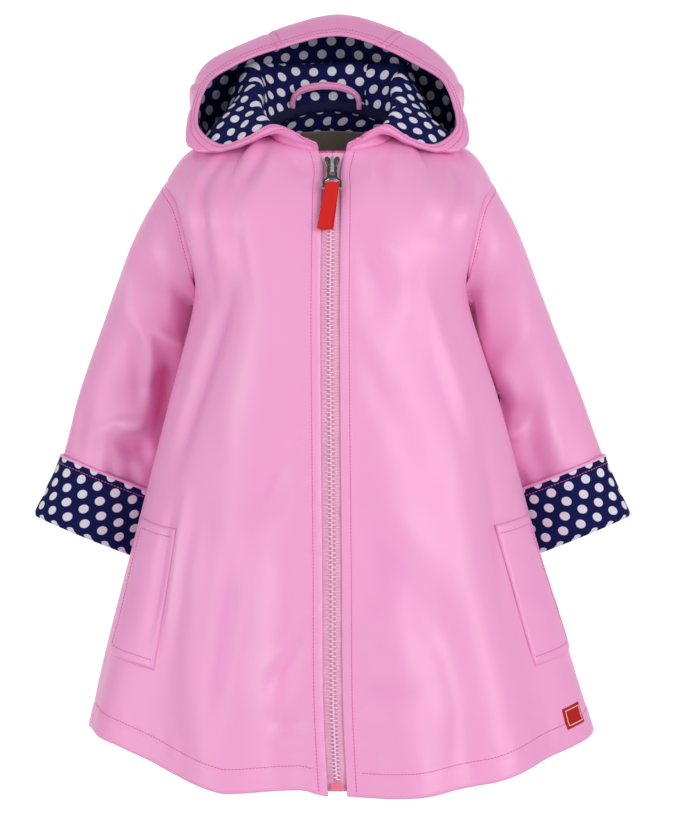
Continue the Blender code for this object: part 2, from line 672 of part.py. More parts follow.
def make_trim(coat, pink, red):
    for side, name in ((LEFT, "left"), (RIGHT, "right")):
        welt = patch_of(front_panel(side), panel_across(), BODY_ROWS, WELTS[side])
        cloth(f"pocket_welt_{name}", welt, pink, coat, TRIM, -(TRIM + LAYER_GAP), flip=side == LEFT)
    label = patch_of(front_panel(LEFT), panel_across(), BODY_ROWS, HEM_LABEL)
    cloth("hem_label", label, red, coat, 1.0, -(1.0 + LAYER_GAP), flip=True)


def make_zip(coat, tape, teeth, box_red, steel, ribbon_red):
    downs = [ZIP_TOP] + [row for row in BODY_ROWS if ZIP_TOP < row < ZIP_END] + [ZIP_END]
    tape_depth = SHELL + LAYER_GAP
    for side, name in ((LEFT, "left"), (RIGHT, "right")):
        strip = zip_strip(downs, sorted((side * TAPE_SPLIT, side * TAPE_HALF)))
        cloth(f"zip_tape_{name}", strip, tape, coat, TAPE, tape_depth, flip=True)
    chain_top = zip_strip([SLIDER_DOWN] + downs[3:-1] + [ZIP_END - BOX_HEIGHT - 1], (-CHAIN_HALF, CHAIN_HALF))
    cloth("zip_chain", chain_top, teeth, coat, CHAIN_PROUD + CHAIN_BACK, -CHAIN_PROUD, flip=True)
    box_rows = zip_strip((ZIP_END - BOX_HEIGHT, ZIP_END), (-BOX_HALF, BOX_HALF))
    cloth("zip_box", box_rows, box_red, coat, BOX_PROUD + CHAIN_BACK, -BOX_PROUD, flip=True)
    make_slider(coat, steel)
    make_pull(coat, steel, ribbon_red)


def make_slider(coat, steel):
    half, top = SLIDER_HALF, SLIDER_LENGTH / 2
    outline = slider_outline()
    thickness = SLIDER_FACE - SLIDER_BACK
    slider = plate("zip_slider", steel, coat, outline[::-1], thickness, bevel=0.4)
    placed(slider, SLIDER_DOWN + SLIDER_LENGTH / 2 - 6, (SLIDER_BACK + SLIDER_FACE) / 2)
    length, rise, bar = BRIDGE_END_DOWN - BRIDGE_TOP_DOWN, BRIDGE_RISE, BRIDGE_BAR
    arch = [(0, 0), (0, rise + bar - 0.8), (0.8, rise + bar), (length - 1.6, rise + bar)]
    arch += [(length, rise + bar - 1.2), (length, 0), (length - bar, 0), (length - bar, rise - 0.6)]
    arch += [(length - 1.9, rise), (bar + 0.4, rise), (bar, rise - 0.4), (bar, 0)]
    bridge = plate("slider_bridge", steel, coat, [(-x, y) for x, y in arch], 2 * BRIDGE_HALF, bevel=0.2)
    placed(bridge, BRIDGE_TOP_DOWN, SLIDER_FACE + 2 * SEAM_GAP, on_edge=True)


def make_pull(coat, steel, red):
    outer, *holes = ring_outlines()
    ring = plate("pull_ring", steel, coat, outer, RING_BAR, bevel=0.3, holes=holes)
    placed(ring, PULL_DOWN, PULL_HEIGHT)
    here, across, up, out = zip_frame(PULL_DOWN)
    foot = here + out * PULL_HEIGHT - up * (RING_LENGTH - RING_BAR / 2)
    up = np.array(RIBBON_UP)
    out = np.cross(across, up)
    radius = RING_BAR / 2 + RING_CLEARANCE
    path = [(-radius + 0.25, -RIBBON_LENGTH), (-radius + 0.25, -5)]
    path += [(-radius * math.cos(a), radius * math.sin(a)) for a in np.linspace(0, math.pi, 7)]
    path += [(radius - 0.25, -5), (radius - 0.25, -RIBBON_LENGTH)]
    strip = [
        [foot + across * (x - RIBBON_SLANT * rise) + up * rise + out * height for x in (-RIBBON_HALF, RIBBON_HALF)]
        for height, rise in path
    ]
    cloth("pull_ribbon", np.array(strip), red, coat, RIBBON_PLY, -RIBBON_PLY, flip=True)


def main():
    for old in list(bpy.data.objects):
        bpy.data.objects.remove(old, do_unlink=True)
    coat = bpy.data.collections.new("Toddler raincoat")
    bpy.context.scene.collection.children.link(coat)
    pink = finish("Coated cloth", PINK, 0.38, 0)
    deep = finish("Binding", PINK_DEEP, 0.5, 0)
    dotted = finish("Dotted lining", NAVY, 0.8, 0)
    make_body(coat, pink)
    make_sleeves(coat, pink, dotted)
    make_hood(coat, pink, dotted)
    make_neck(coat, deep, dotted, finish("Neck label", LABEL_TAN, 0.8, 0))
    make_trim(coat, pink, finish("Hem label", LABEL_RED, 0.7, 0))
    make_zip(
        coat,
        finish("Zip tape", TAPE_PINK, 0.8, 0),
        finish("Zip teeth", TAPE_PINK, 0.35, 0),
        finish("Zip box", BOX_RED, 0.35, 0),
        finish("Plated metal", STEEL, 0.25, 1),
        finish("Pull ribbon", RIBBON_RED, 0.7, 0),
    )


if __name__ == "__main__":
    main()
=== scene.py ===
"""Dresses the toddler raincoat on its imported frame: cloth with its creases, stitching, zip, pull and labels.

Tables and functions are in millimetres, as the frame's source is. MM turns their points into Blender's metres
where a mesh is made.
"""

import math
from collections import namedtuple
from functools import lru_cache

import bmesh
import bpy
import numpy as np
from mathutils import Matrix, Vector
from mathutils.bvhtree import BVHTree


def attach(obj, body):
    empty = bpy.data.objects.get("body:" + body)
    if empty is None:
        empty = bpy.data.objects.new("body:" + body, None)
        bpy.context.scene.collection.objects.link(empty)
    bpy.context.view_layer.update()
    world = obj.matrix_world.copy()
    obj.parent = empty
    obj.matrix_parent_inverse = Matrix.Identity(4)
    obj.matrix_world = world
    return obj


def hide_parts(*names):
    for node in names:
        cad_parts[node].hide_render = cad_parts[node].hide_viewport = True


bl_info = {
    "name": "Toddler Raincoat",
    "version": (1, 0, 0),
    "blender": (4, 5, 0),
    "location": "View3D > Sidebar > Raincoat",
    "description": "Makes a hooded raincoat: its cloth, stitching, zip, pull and labels",
    "category": "Add Mesh",
}

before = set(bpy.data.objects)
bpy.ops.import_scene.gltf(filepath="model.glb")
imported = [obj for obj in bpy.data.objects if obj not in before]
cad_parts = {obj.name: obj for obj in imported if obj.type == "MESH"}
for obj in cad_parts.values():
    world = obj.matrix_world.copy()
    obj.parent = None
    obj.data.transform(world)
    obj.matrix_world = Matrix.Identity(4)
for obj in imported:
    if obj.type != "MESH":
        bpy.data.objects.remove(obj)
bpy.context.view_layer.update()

MM = 0.001
LEFT, RIGHT = 1, -1
FRONT, BACK = -1, 1


def table(kind, *rows):
    """Rows of numbers as named values of one kind."""
    return [kind(*row) for row in rows]


# Cloth
SHELL = 1.2
LINING = 1.0
SEAM_GAP = 0.3
LAYER_GAP = 0.5

# Neck opening, with the zip's exposed strip at the front
NECK_HALF = 55.0
NECK_SIDE_Y = 4.0
NECK_FRONT_Y, NECK_FRONT_Z = -50.0, -21.5
NECK_BACK_Y, NECK_BACK_Z = 48.0, 18.0
ZIP_HALF = 7.5
ZIP_FLARE = 3.1

# Shoulder seam. The pad rounds its outer part up.
SHOULDER_CENTRE = -2.5
SHOULDER_HALF = 122.5
SHOULDER_Y = 8.0
SHOULDER_DROP = 41.0
SHOULDER_CURVE = 2.1
SHOULDER_PAD = 4.6

# Share of a panel's top edge that is neck, the rest being shoulder seam
NECK_SHARE = 6 / 14

# Armhole: a loop from the shoulder tip round to the underarm
UNDERARM_CENTRE = -1.0
UNDERARM_HALF = 102.0
UNDERARM_Z = -127.0
ARMHOLE_DEPTH = 35.0
ARMHOLE_HOLLOW = 6.0

# Sections of the body below its top edge. down is the distance along the cloth. arm is the armhole's turn
# from the shoulder tip, in degrees, where the section ends at the armhole. Elsewhere it ends at a side seam.
BodySection = namedtuple(
    "BodySection", "down arm zip_x centre half side_z front_y front_z back_y back_z square"
)
BODY_SECTIONS = table(
    BodySection,
    (50, 60, -0.5, None, None, None, -68, -52, 68, -26, 2.5),
    (92, 120, -1.0, None, None, None, -79, -89, 78, -78, 2.4),
    (134, 180, -1.5, -1.0, 102, -127, -85, -128, 82, -127, 2.3),
    (219, None, -1.0, 1.5, 124.5, -210, -90, -220, 87, -218, 2.25),
    (312, None, 0.0, 2.0, 148, -300, -97, -320, 93, -318, 2.2),
    (412, None, 1.0, 3.8, 175, -400, -105, -432, 100, -430, 2.2),
    (477, None, 4.0, 6.0, 188, -452, -112, -491, 106, -490, 2.2),
)
BROW_DOWN = 14.0
UNDERARM_DOWN = BODY_SECTIONS[2].down
HEM_DOWN = BODY_SECTIONS[-1].down
HEM_CURVE = 1.4
# How far the hem is lifted off that curve, by the share across a panel
HEM_LIFTS = {
    RIGHT: {0: 0, 0.05: 4.5, 0.12: 2.8, 0.24: -1.8, 0.35: 2.5, 0.5: 8, 0.65: 11, 0.8: 11, 0.93: 6.5, 1: 2},
    LEFT: {0: 0, 0.08: -1.8, 0.16: -2.2, 0.25: 0, 0.37: 1, 0.47: 3.7, 0.56: 5.2, 0.7: 4.8, 0.88: 5.5, 1: 2},
}
HEM_LIFT_TOP = 330
BODY_ROWS = (0.6, 7, 16, 30, 50, 71, 92, 113, 134, 161, 190, 219, 250, 281, 312, 345, 379, 412, 446, HEM_DOWN)

# Flutes of the body. angle is degrees round from the centre front, with the wearer's left positive.
Flute = namedtuple("Flute", "angle spread height top full")
FLUTES = table(
    Flute,
    (-24, 9, 8.0, 150, 430), (-8, 6, -4.5, 220, 450), (13, 9, 8.0, 170, 440), (36, 10, 5.0, 120, 400),
    (27, 6, -4.0, 260, 450), (-46, 11, -4.0, 180, 420), (56, 9, -4.0, 200, 430), (-66, 9, 4.0, 240, 440),
    (76, 8, 3.5, 260, 450), (-112, 12, 6.0, 150, 420), (108, 11, 6.0, 170, 430), (-135, 10, -6.0, 180, 430),
    (131, 11, -6.5, 150, 430), (-158, 11, 8.5, 120, 420), (154, 10, 8.0, 140, 430),
    (177, 9, -7.0, 200, 450),
)
ZIP_STIFFNESS = 6.0

# Sections of a sleeve below the armhole: its outer and inner edge, its middle and its half depth
SleeveSection = namedtuple("SleeveSection", "down shift outer_x outer_z inner_x inner_z middle_y half_depth")
SLEEVE_SECTIONS = table(
    SleeveSection,
    (38, -3.5, 141.9, -75.7, 105.5, -131, 11, 37), (88, -3.7, 160.5, -120.5, 99, -142, 33, 36),
    (137, -3.1, 177.9, -165.5, 105, -190, 45, 33), (176, -1.9, 191.7, -201.8, 116, -229, 51, 30),
    (224, 0.5, 206.5, -248.5, 132, -278, 54, 27), (275, 0.0, 226.0, -293.0, 147.5, -325, 59, 28),
)
CUFF_TOP = 224
SLEEVE_END = SLEEVE_SECTIONS[-1].down
SLEEVE_ROWS = (1.0, 12, 25, 40, 58, 76, 94, 112, 130, 148, 166, 185, 204, CUFF_TOP, 241, 258, SLEEVE_END)
SLEEVE_CLEARANCE = 1.2
CUFF_CLEARANCE = 5.0

# Folds of a sleeve. down and turn are the middle, turn in degrees from the outer edge towards the front.
# slant is the change of down over a turn of 90 degrees.
SleeveFold = namedtuple("SleeveFold", "side down turn width reach height slant")
SLEEVE_FOLDS = table(
    SleeveFold,
    (RIGHT, 118, 88, 9, 34, 4.0, 38), (RIGHT, 148, 118, 10, 34, -5.0, -26),
    (RIGHT, 182, 100, 9, 40, 4.5, -36), (RIGHT, 130, 250, 10, 60, -5.0, 20),
    (RIGHT, 60, 215, 9, 55, -4.5, -20), (LEFT, 128, 90, 10, 36, 3.0, 30),
    (LEFT, 168, 116, 11, 36, -3.5, -28), (LEFT, 120, 245, 10, 60, -5.0, -18),
    (LEFT, 70, 220, 9, 50, -4.0, 20),
)

# Hood. Each section runs from the neck seam up over an inner fold, down into a trough behind the neck, up the
# outer swell and over to the rim. turn is 0 at the zip and 1 at the centre back. Points are (out, back, up).
HoodSection = namedtuple("HoodSection", "turn inner_fold trough_in trough swell outer_fold rim")
HOOD_SECTIONS = table(
    HoodSection,
    (0, (10.9, -50.8, -20.1), (11.2, -51.2, -19.4), (11.6, -51.8, -18.6),
        (12, -52.6, -17.9), (12.4, -53.3, -17.2), (12.7, -53.6, -16.9)),
    (0.15, (30, -45.5, -14), (32, -48, -12), (34, -50.5, -9),
        (37.5, -51.5, -6.5), (40.5, -50, -4), (42, -48, -2.4)),
    (0.26, (43, -31, -4), (47, -34, -6), (53, -37.5, -12),
        (59, -41, -16.8), (61, -44.5, -14.9), (60, -43, -11.3)),
    (0.37, (51, -15, 8.5), (59, -18, 2), (70, -24, -11),
        (80, -29, -21.5), (83, -32.5, -19.6), (81, -31, -15.8)),
    (0.48, (52, 3, 22), (63, 3, 14), (81, -2, -1), (95, -8, -15), (104.5, -18, -14.5), (98, -13, 0.5)),
    (0.60, (54, 26, 35), (67, 30, 22), (85, 33, -8), (99, 33, -6), (101.5, 24, 26), (91, 9, 33)),
    (0.72, (56, 45, 46), (68, 53, 26), (80, 63, -17), (97, 66, 4), (91, 45, 52), (70, 21, 49)),
    (0.85, (31, 58, 49), (37, 68, 20), (44, 82, -30.5), (58, 89.5, 11.5), (52, 60, 75.8), (40, 30.5, 63)),
    (1.00, (0, 62, 49), (0, 72, 20), (0, 86, -36), (0, 95, 16), (0, 68, 90.4), (0, 35, 73)),
)
HOOD_KNOTS = (0, 0.13, 0.25, 0.45, 0.66, 0.88, 1)
HOOD_SEAM_TURN = 0.845
HOOD_TURN_LENGTH = 300.0
NECK_SEAM_RISE = 0.9

# Trim, as shares of the panel that carries it. across is 0 at the centre line and 1 at the side seam.
# drift_in and drift_out are how far each edge moves across on its way down.
Patch = namedtuple("Patch", "across_in across_out top bottom drift_in drift_out", defaults=(0, 0))
WELTS = {
    RIGHT: Patch(0.56, 0.857, 302, 399, -0.008, -0.042),
    LEFT: Patch(0.593, 0.88, 300, 400, 0.049, 0.025),
}
HEM_LABEL = Patch(0.716, 0.806, 442.5, 461.5)
FACING_HALF_TURN = 0.62
FACING_DOWN = 34
LABEL_HALF = 29.0
LABEL_CENTRE = 4.5
LABEL_TOP_DOWN, LABEL_BOTTOM_DOWN = 20, 48

LOOP_HALF = 27.0
LOOP_CENTRE = -5.0
LOOP_HEIGHT = 17.0
LOOP_WIDTH = 4.8
LOOP_AHEAD = 10.5

# Zip
TAPE_HALF = 11.0
TAPE_SPLIT = 0.3
ZIP_END = 473
BOX_HALF, BOX_HEIGHT = 4.1, 6.5
SLIDER_DOWN, SLIDER_RISE = 15.0, 6
SLIDER_LENGTH = 16.0
SLIDER_HALF = 4.9
SLIDER_WAIST = 3.5
SLIDER_BACK, SLIDER_FACE = 1.8, 4.2
BRIDGE_HALF, BRIDGE_BAR = 1.2, 1.0
BRIDGE_TOP_DOWN, BRIDGE_END_DOWN, BRIDGE_RISE = 12.3, 24.8, 3.6
PULL_DOWN = 21.8
PULL_HEIGHT = 6.1
RING_HALF, RING_LENGTH, RING_BAR = 6.9, 17.7, 1.5
RING_NECK, RING_SHOULDER, RING_LEG, RING_HORN = 3.6, 10.2, 1.2, 2.5
RIBBON_HALF = 4.9
RIBBON_LENGTH = 33.2
RIBBON_PLY = 0.9
RING_CLEARANCE = 0.6
RIBBON_SLANT = -0.175
RIBBON_UP = (0, 0.21, 0.978)


def through(knots, points, at):
    """Points on a smooth curve through the given ones, for each number in at. Each point may be an array."""
    knots, points, at = (np.asarray(values, float) for values in (knots, points, at))
    steps = np.diff(knots)
    wide = (-1,) + (1,) * (points.ndim - 1)
    rise = np.diff(points, axis=0) / steps.reshape(wide)
    before, after = steps[:-1].reshape(wide), steps[1:].reshape(wide)
    inner = (rise[:-1] * after + rise[1:] * before) / (before + after)
    slope = np.concatenate([rise[:1], inner, rise[-1:]])
    first = np.clip(np.searchsorted(knots, at, side="right") - 1, 0, len(steps) - 1)
    w = ((at - knots[first]) / steps[first]).reshape(wide)
    step = steps[first].reshape(wide)
    ease = w * w * (3 - 2 * w)
    leave = w * (1 - w) ** 2
    arrive = w * w * (w - 1)
    return (
        points[first] * (1 - ease)
        + points[first + 1] * ease
        + slope[first] * step * leave
        + slope[first + 1] * step * arrive
    )


def smooth_step(low, high, value):
    """0 at low and 1 at high, with a soft step between. low may be the greater."""
    share = np.clip((np.asarray(value, float) - low) / (high - low), 0, 1)
    return share * share * (3 - 2 * share)


def xyz(x, y, z):
    """Points from numbers or arrays that fit together."""
    return np.stack(np.broadcast_arrays(x, y, z), -1).astype(float)


def length_of(vectors):
    """The length of each vector."""
    return np.linalg.norm(vectors, axis=-1, keepdims=True)


def unit(vectors):
    """Each vector made one long."""
    return vectors / np.maximum(length_of(vectors), 1e-9)


# Body


def neck_curve(side, turn):
    """The neck seam, from the zip at turn 0 to the centre back at turn 1."""
    angle = np.asarray(turn, float) * math.pi
    ahead = np.cos(angle)
    in_front = ahead > 0
    edge = np.where(in_front, ZIP_HALF + ZIP_FLARE, 0.0)
    x = edge + (NECK_HALF - edge) * np.sin(angle)
    y = NECK_SIDE_Y + np.where(in_front, NECK_FRONT_Y - NECK_SIDE_Y, NECK_SIDE_Y - NECK_BACK_Y) * ahead
    z = np.where(in_front, NECK_FRONT_Z * np.abs(ahead) ** 1.5, NECK_BACK_Z * ahead**2)
    return xyz(side * x, y, z)


def shoulder_curve(side, share):
    """The shoulder seam, from the neck at share 0 to the armhole at share 1."""
    tip_x = SHOULDER_CENTRE + side * SHOULDER_HALF
    x = side * NECK_HALF + (tip_x - side * NECK_HALF) * share
    y = NECK_SIDE_Y + (SHOULDER_Y - NECK_SIDE_Y) * share
    pad = SHOULDER_PAD * np.sin(math.pi * np.clip((share - 0.6) / 0.4, 0, 1))
    return xyz(x, y, pad - SHOULDER_DROP * share**SHOULDER_CURVE)


def top_edge(side, face, across):
    """The top edge of a panel: the neck seam, then the shoulder seam."""
    on_neck = np.clip(across / NECK_SHARE, 0, 1) / 2
    on_shoulder = np.clip((across - NECK_SHARE) / (1 - NECK_SHARE), 0, 1)
    neck = neck_curve(side, on_neck if face == FRONT else 1 - on_neck)
    return np.where((across > NECK_SHARE)[:, None], shoulder_curve(side, on_shoulder), neck)


def brow(side, face, across):
    """A line just below the top edge, which rounds the cloth over the shoulder."""
    w = smooth_step(0, NECK_SHARE, across)
    spread = 5 * np.sin(math.pi * np.clip(across / NECK_SHARE, 0, 1))
    spread = spread - ZIP_FLARE * (1 - smooth_step(0, 0.1, across))
    offset = xyz(side * spread, face * (6 + 7 * w), -11.5 + 7.5 * w)
    return top_edge(side, face, across) + offset


def armhole_point(side, face, turn):
    """A point of the armhole, turn degrees from the shoulder tip."""
    angle = math.radians(turn)
    tip = np.array([SHOULDER_CENTRE + side * SHOULDER_HALF, SHOULDER_Y, -SHOULDER_DROP])
    underarm = np.array([UNDERARM_CENTRE + side * UNDERARM_HALF, 0, UNDERARM_Z])
    around = math.sin(angle)
    reach = np.array([-side * ARMHOLE_HOLLOW * around**2, face * ARMHOLE_DEPTH * around, 0])
    return (tip + underarm) / 2 + (tip - underarm) / 2 * math.cos(angle) + reach


def section_line(section, side, face, across):
    """One section of the body, from the centre line at across 0 to the armhole or side seam at across 1."""
    if section.arm is None or section.arm == 180:
        end = np.array([section.centre + side * section.half, 0, section.side_z])
    else:
        end = armhole_point(side, face, section.arm)
    if face == FRONT:
        middle = (section.zip_x + side * ZIP_HALF, section.front_y, section.front_z)
    else:
        centre = SHOULDER_CENTRE if section.centre is None else section.centre
        middle = (centre, section.back_y, section.back_z)
    angle = across * math.pi / 2
    aside = np.sin(angle) ** (2 / section.square)
    ahead = np.clip(np.cos(angle), 0, 1) ** (2 / section.square)
    x = middle[0] + (end[0] - middle[0]) * aside
    y = end[1] + (middle[1] - end[1]) * ahead
    z = end[2] + (middle[2] - end[2]) * ahead**HEM_CURVE
    return xyz(x, y, z)


def flute_height(angle, down):
    """How far the flutes lift the cloth at an angle round the body, in degrees."""
    height = 0.0
    for flute in FLUTES:
        away = (angle - flute.angle + 180) % 360 - 180
        reached = smooth_step(flute.top, flute.full, down)
        height = height + flute.height * np.exp(-((away / flute.spread) ** 2)) * reached
    return height * (1 - np.exp(-((angle / ZIP_STIFFNESS) ** 2)))


def seam_drift(side, face, down, knots):
    """How far the curve through the armhole would carry the side seam off its own line."""
    end = np.array([1.0])
    lines = [top_edge(side, face, end), brow(side, face, end)]
    lines += [section_line(section, side, face, end) for section in BODY_SECTIONS]
    return through(knots, lines, down)[:, 0, 1]


def body_points(side, face, across, down):
    """Rows of points on the body's outer face: one row for each down, one column for each across."""
    across, down = np.asarray(across, float), np.asarray(down, float)
    knots = [0, BROW_DOWN] + [section.down for section in BODY_SECTIONS]
    lines = [top_edge(side, face, across), brow(side, face, across)]
    lines += [section_line(section, side, face, across) for section in BODY_SECTIONS]
    points = through(knots, lines, down)
    drift = np.where(down > UNDERARM_DOWN, seam_drift(side, face, down, knots), 0)
    points[..., 1] -= drift[:, None] * across**6
    angle = across * 90 if face == FRONT else 180 - across * 90
    lifts = HEM_LIFTS[side]
    raised = np.interp(across, list(lifts), list(lifts.values()))
    if face == BACK:
        raised *= smooth_step(0.3, 0.5, across)
    points[..., 2] += smooth_step(HEM_LIFT_TOP, 2 * HEM_DOWN - HEM_LIFT_TOP, down)[:, None] * 2 * raised
    lift = flute_height(side * angle[None, :], down[:, None])
    turned = np.radians(angle)
    return points + lift[..., None] * xyz(side * np.sin(turned), -np.cos(turned), 0.0)[None]


def armhole_loop(side, turns):
    """The armhole as the panels have it. Turns run from the shoulder tip over the front to the underarm."""
    arm_turns = [0, 20] + [section.arm for section in BODY_SECTIONS[:3]]
    downs = [0, BROW_DOWN] + [section.down for section in BODY_SECTIONS[:3]]
    loop = []
    for turn in turns:
        face = FRONT if turn <= 180 else BACK
        down = np.interp(min(turn, 360 - turn), arm_turns, downs)
        loop.append(body_points(side, face, [1.0], [down])[0, 0])
    return np.array(loop)


# Sleeves


def half_width_at(y, z):
    """Half the body's width at a height and a distance behind its middle, without flutes."""
    rings = BODY_SECTIONS[2:]
    heights = [-ring.side_z for ring in rings]
    half = np.interp(-z, heights, [ring.half for ring in rings])
    depth = np.interp(-z, heights, [ring.back_y for ring in rings])
    square = rings[0].square
    return half * np.clip(1 - np.abs(y / depth) ** square, 0, 1) ** (1 / square)


def sleeve_points(side, turns, down):
    """Rows of points on a sleeve's outer face, one row for each down."""
    turns, down = np.asarray(turns, float), np.asarray(down, float)
    rings = [armhole_loop(side, turns)]
    angle = np.radians(turns)
    for section in SLEEVE_SECTIONS:
        outer = np.array([section.shift + side * section.outer_x, section.middle_y, section.outer_z])
        inner = np.array([section.shift + side * section.inner_x, section.middle_y, section.inner_z])
        ring = (outer + inner) / 2 + np.cos(angle)[:, None] * (outer - inner) / 2
        ring[:, 1] -= section.half_depth * np.sin(angle)
        rings.append(ring)
    points = through([0] + [section.down for section in SLEEVE_SECTIONS], rings, down)
    away = points - points.mean(1, keepdims=True)
    away /= length_of(away)
    lift = np.zeros(points.shape[:2])
    for fold in SLEEVE_FOLDS:
        if fold.side == side:
            aside = turns[None, :] - fold.turn
            along = down[:, None] - fold.down - fold.slant * aside / 90
            lift += fold.height * np.exp(-((along / fold.width) ** 2) - (aside / fold.reach) ** 2)
    return clear_of_body(side, points + lift[..., None] * away, down)


def clear_of_body(side, points, down):
    """The sleeve's points, moved out where they would pass into the body."""
    centre = np.interp(-points[..., 2], [127, 210, 300, 400], [-1.0, 1.5, 2.0, 3.8])
    at_cuff = smooth_step(CUFF_TOP - 30, CUFF_TOP, down)
    clearance = SLEEVE_CLEARANCE * smooth_step(10, 60, down) + (CUFF_CLEARANCE - SLEEVE_CLEARANCE) * at_cuff
    least = half_width_at(points[..., 1], points[..., 2]) + clearance[:, None]
    out = side * (points[..., 0] - centre)
    below = points[..., 2] < UNDERARM_Z
    points[..., 0] = np.where(below & (out < least), centre + side * least, points[..., 0])
    return points


# Hood


def hood_lean(turn, z):
    """How far the hood sags to the wearer's right at its sides, and to the left at its top."""
    return (7.5 * smooth_step(50, 75, z) - smooth_step(-10, 20, z) - 3.5) * smooth_step(0, 0.3, turn)


def hood_points(side, turn, rows):
    """Rows of points on the hood's outer face from the neck seam to the rim, one column for each turn."""
    turn = np.asarray(turn, float)
    neck = neck_curve(side, turn) + (0, 0, NECK_SEAM_RISE)
    turns = [section.turn for section in HOOD_SECTIONS] + [2 - HOOD_SECTIONS[-2].turn]
    lines = [neck]
    for name in HoodSection._fields[1:]:
        points = [getattr(section, name) for section in HOOD_SECTIONS]
        line = through(turns, points + [np.multiply(points[-2], (-1, 1, 1))], turn)
        lines.append(xyz(side * line[:, 0] + hood_lean(turn, line[:, 2]), line[:, 1], line[:, 2]))
    return through(HOOD_KNOTS, lines, rows)


def zip_line(down):
    """Points on the zip's middle at the height of the cloth's outer face."""
    return sum(body_points(side, FRONT, [0.0], down)[:, 0] for side in (LEFT, RIGHT)) / 2


def zip_frame(down):
    """The zip's place and its directions across, up along the zip and out of the cloth."""
    above, here, below = zip_line([down - 4, down, down + 4])
    up = (above - below) / np.linalg.norm(above - below)
    across = np.array([1.0, 0, 0])
    up[0] = 0
    up /= np.linalg.norm(up)
    out = np.cross(across, up)
    return here, across, up, out


def slider_outline():
    """The slider's plate in its own plane: two wings at the top over a narrower body."""
    half, top, waist = SLIDER_HALF, SLIDER_LENGTH / 2, SLIDER_WAIST
    right = [(1.2, top - 3.5), (half - 1.2, top - 0.4), (half + 0.2, top - 1.6), (half + 0.4, top - 4)]
    right += [(waist + 0.6, top - 7), (waist, -1), (waist, -top + 1), (waist - 0.8, -top)]
    return right + [(-x, y) for x, y in right[::-1]]


def ring_outlines():
    """The pull's outlines in its own plane: the outer one, the bridge's hole and the ribbon's slot."""
    half, end, bar = RING_HALF, -RING_LENGTH, RING_BAR
    neck, shoulder, leg, horn = RING_NECK, -RING_SHOULDER, RING_LEG, RING_HORN
    outer = [(neck - 0.8, 0), (neck, -1), (neck, shoulder), (half, shoulder - 3.4), (half, end - horn)]
    outer += [(half - leg, end - horn), (half - leg, end)]
    hole = [(neck - bar, -bar), (neck - bar, -8.7)]
    inner = half - leg - 0.1
    slot = [(neck - bar + 0.6, shoulder - 1.5), (inner, shoulder - 4), (inner, end + bar)]
    return [right + [(-x, y) for x, y in right[::-1]] for right in (outer, hole, slot)]


# Cloth in detail


def finer(values, step):
    """The same run of values with others between them, at most step apart."""
    run = [values[0]]
    for low, high in zip(values, values[1:]):
        count = max(1, math.ceil((high - low) / step - 1e-6))
        run += [low + (high - low) * k / count for k in range(1, count + 1)]
    return np.array(run)


def quads_of(index):
    """The four corners of each square of a grid of vertex numbers."""
    return np.stack([index[:-1, :-1], index[:-1, 1:], index[1:, 1:], index[1:, :-1]], -1).reshape(-1, 4)


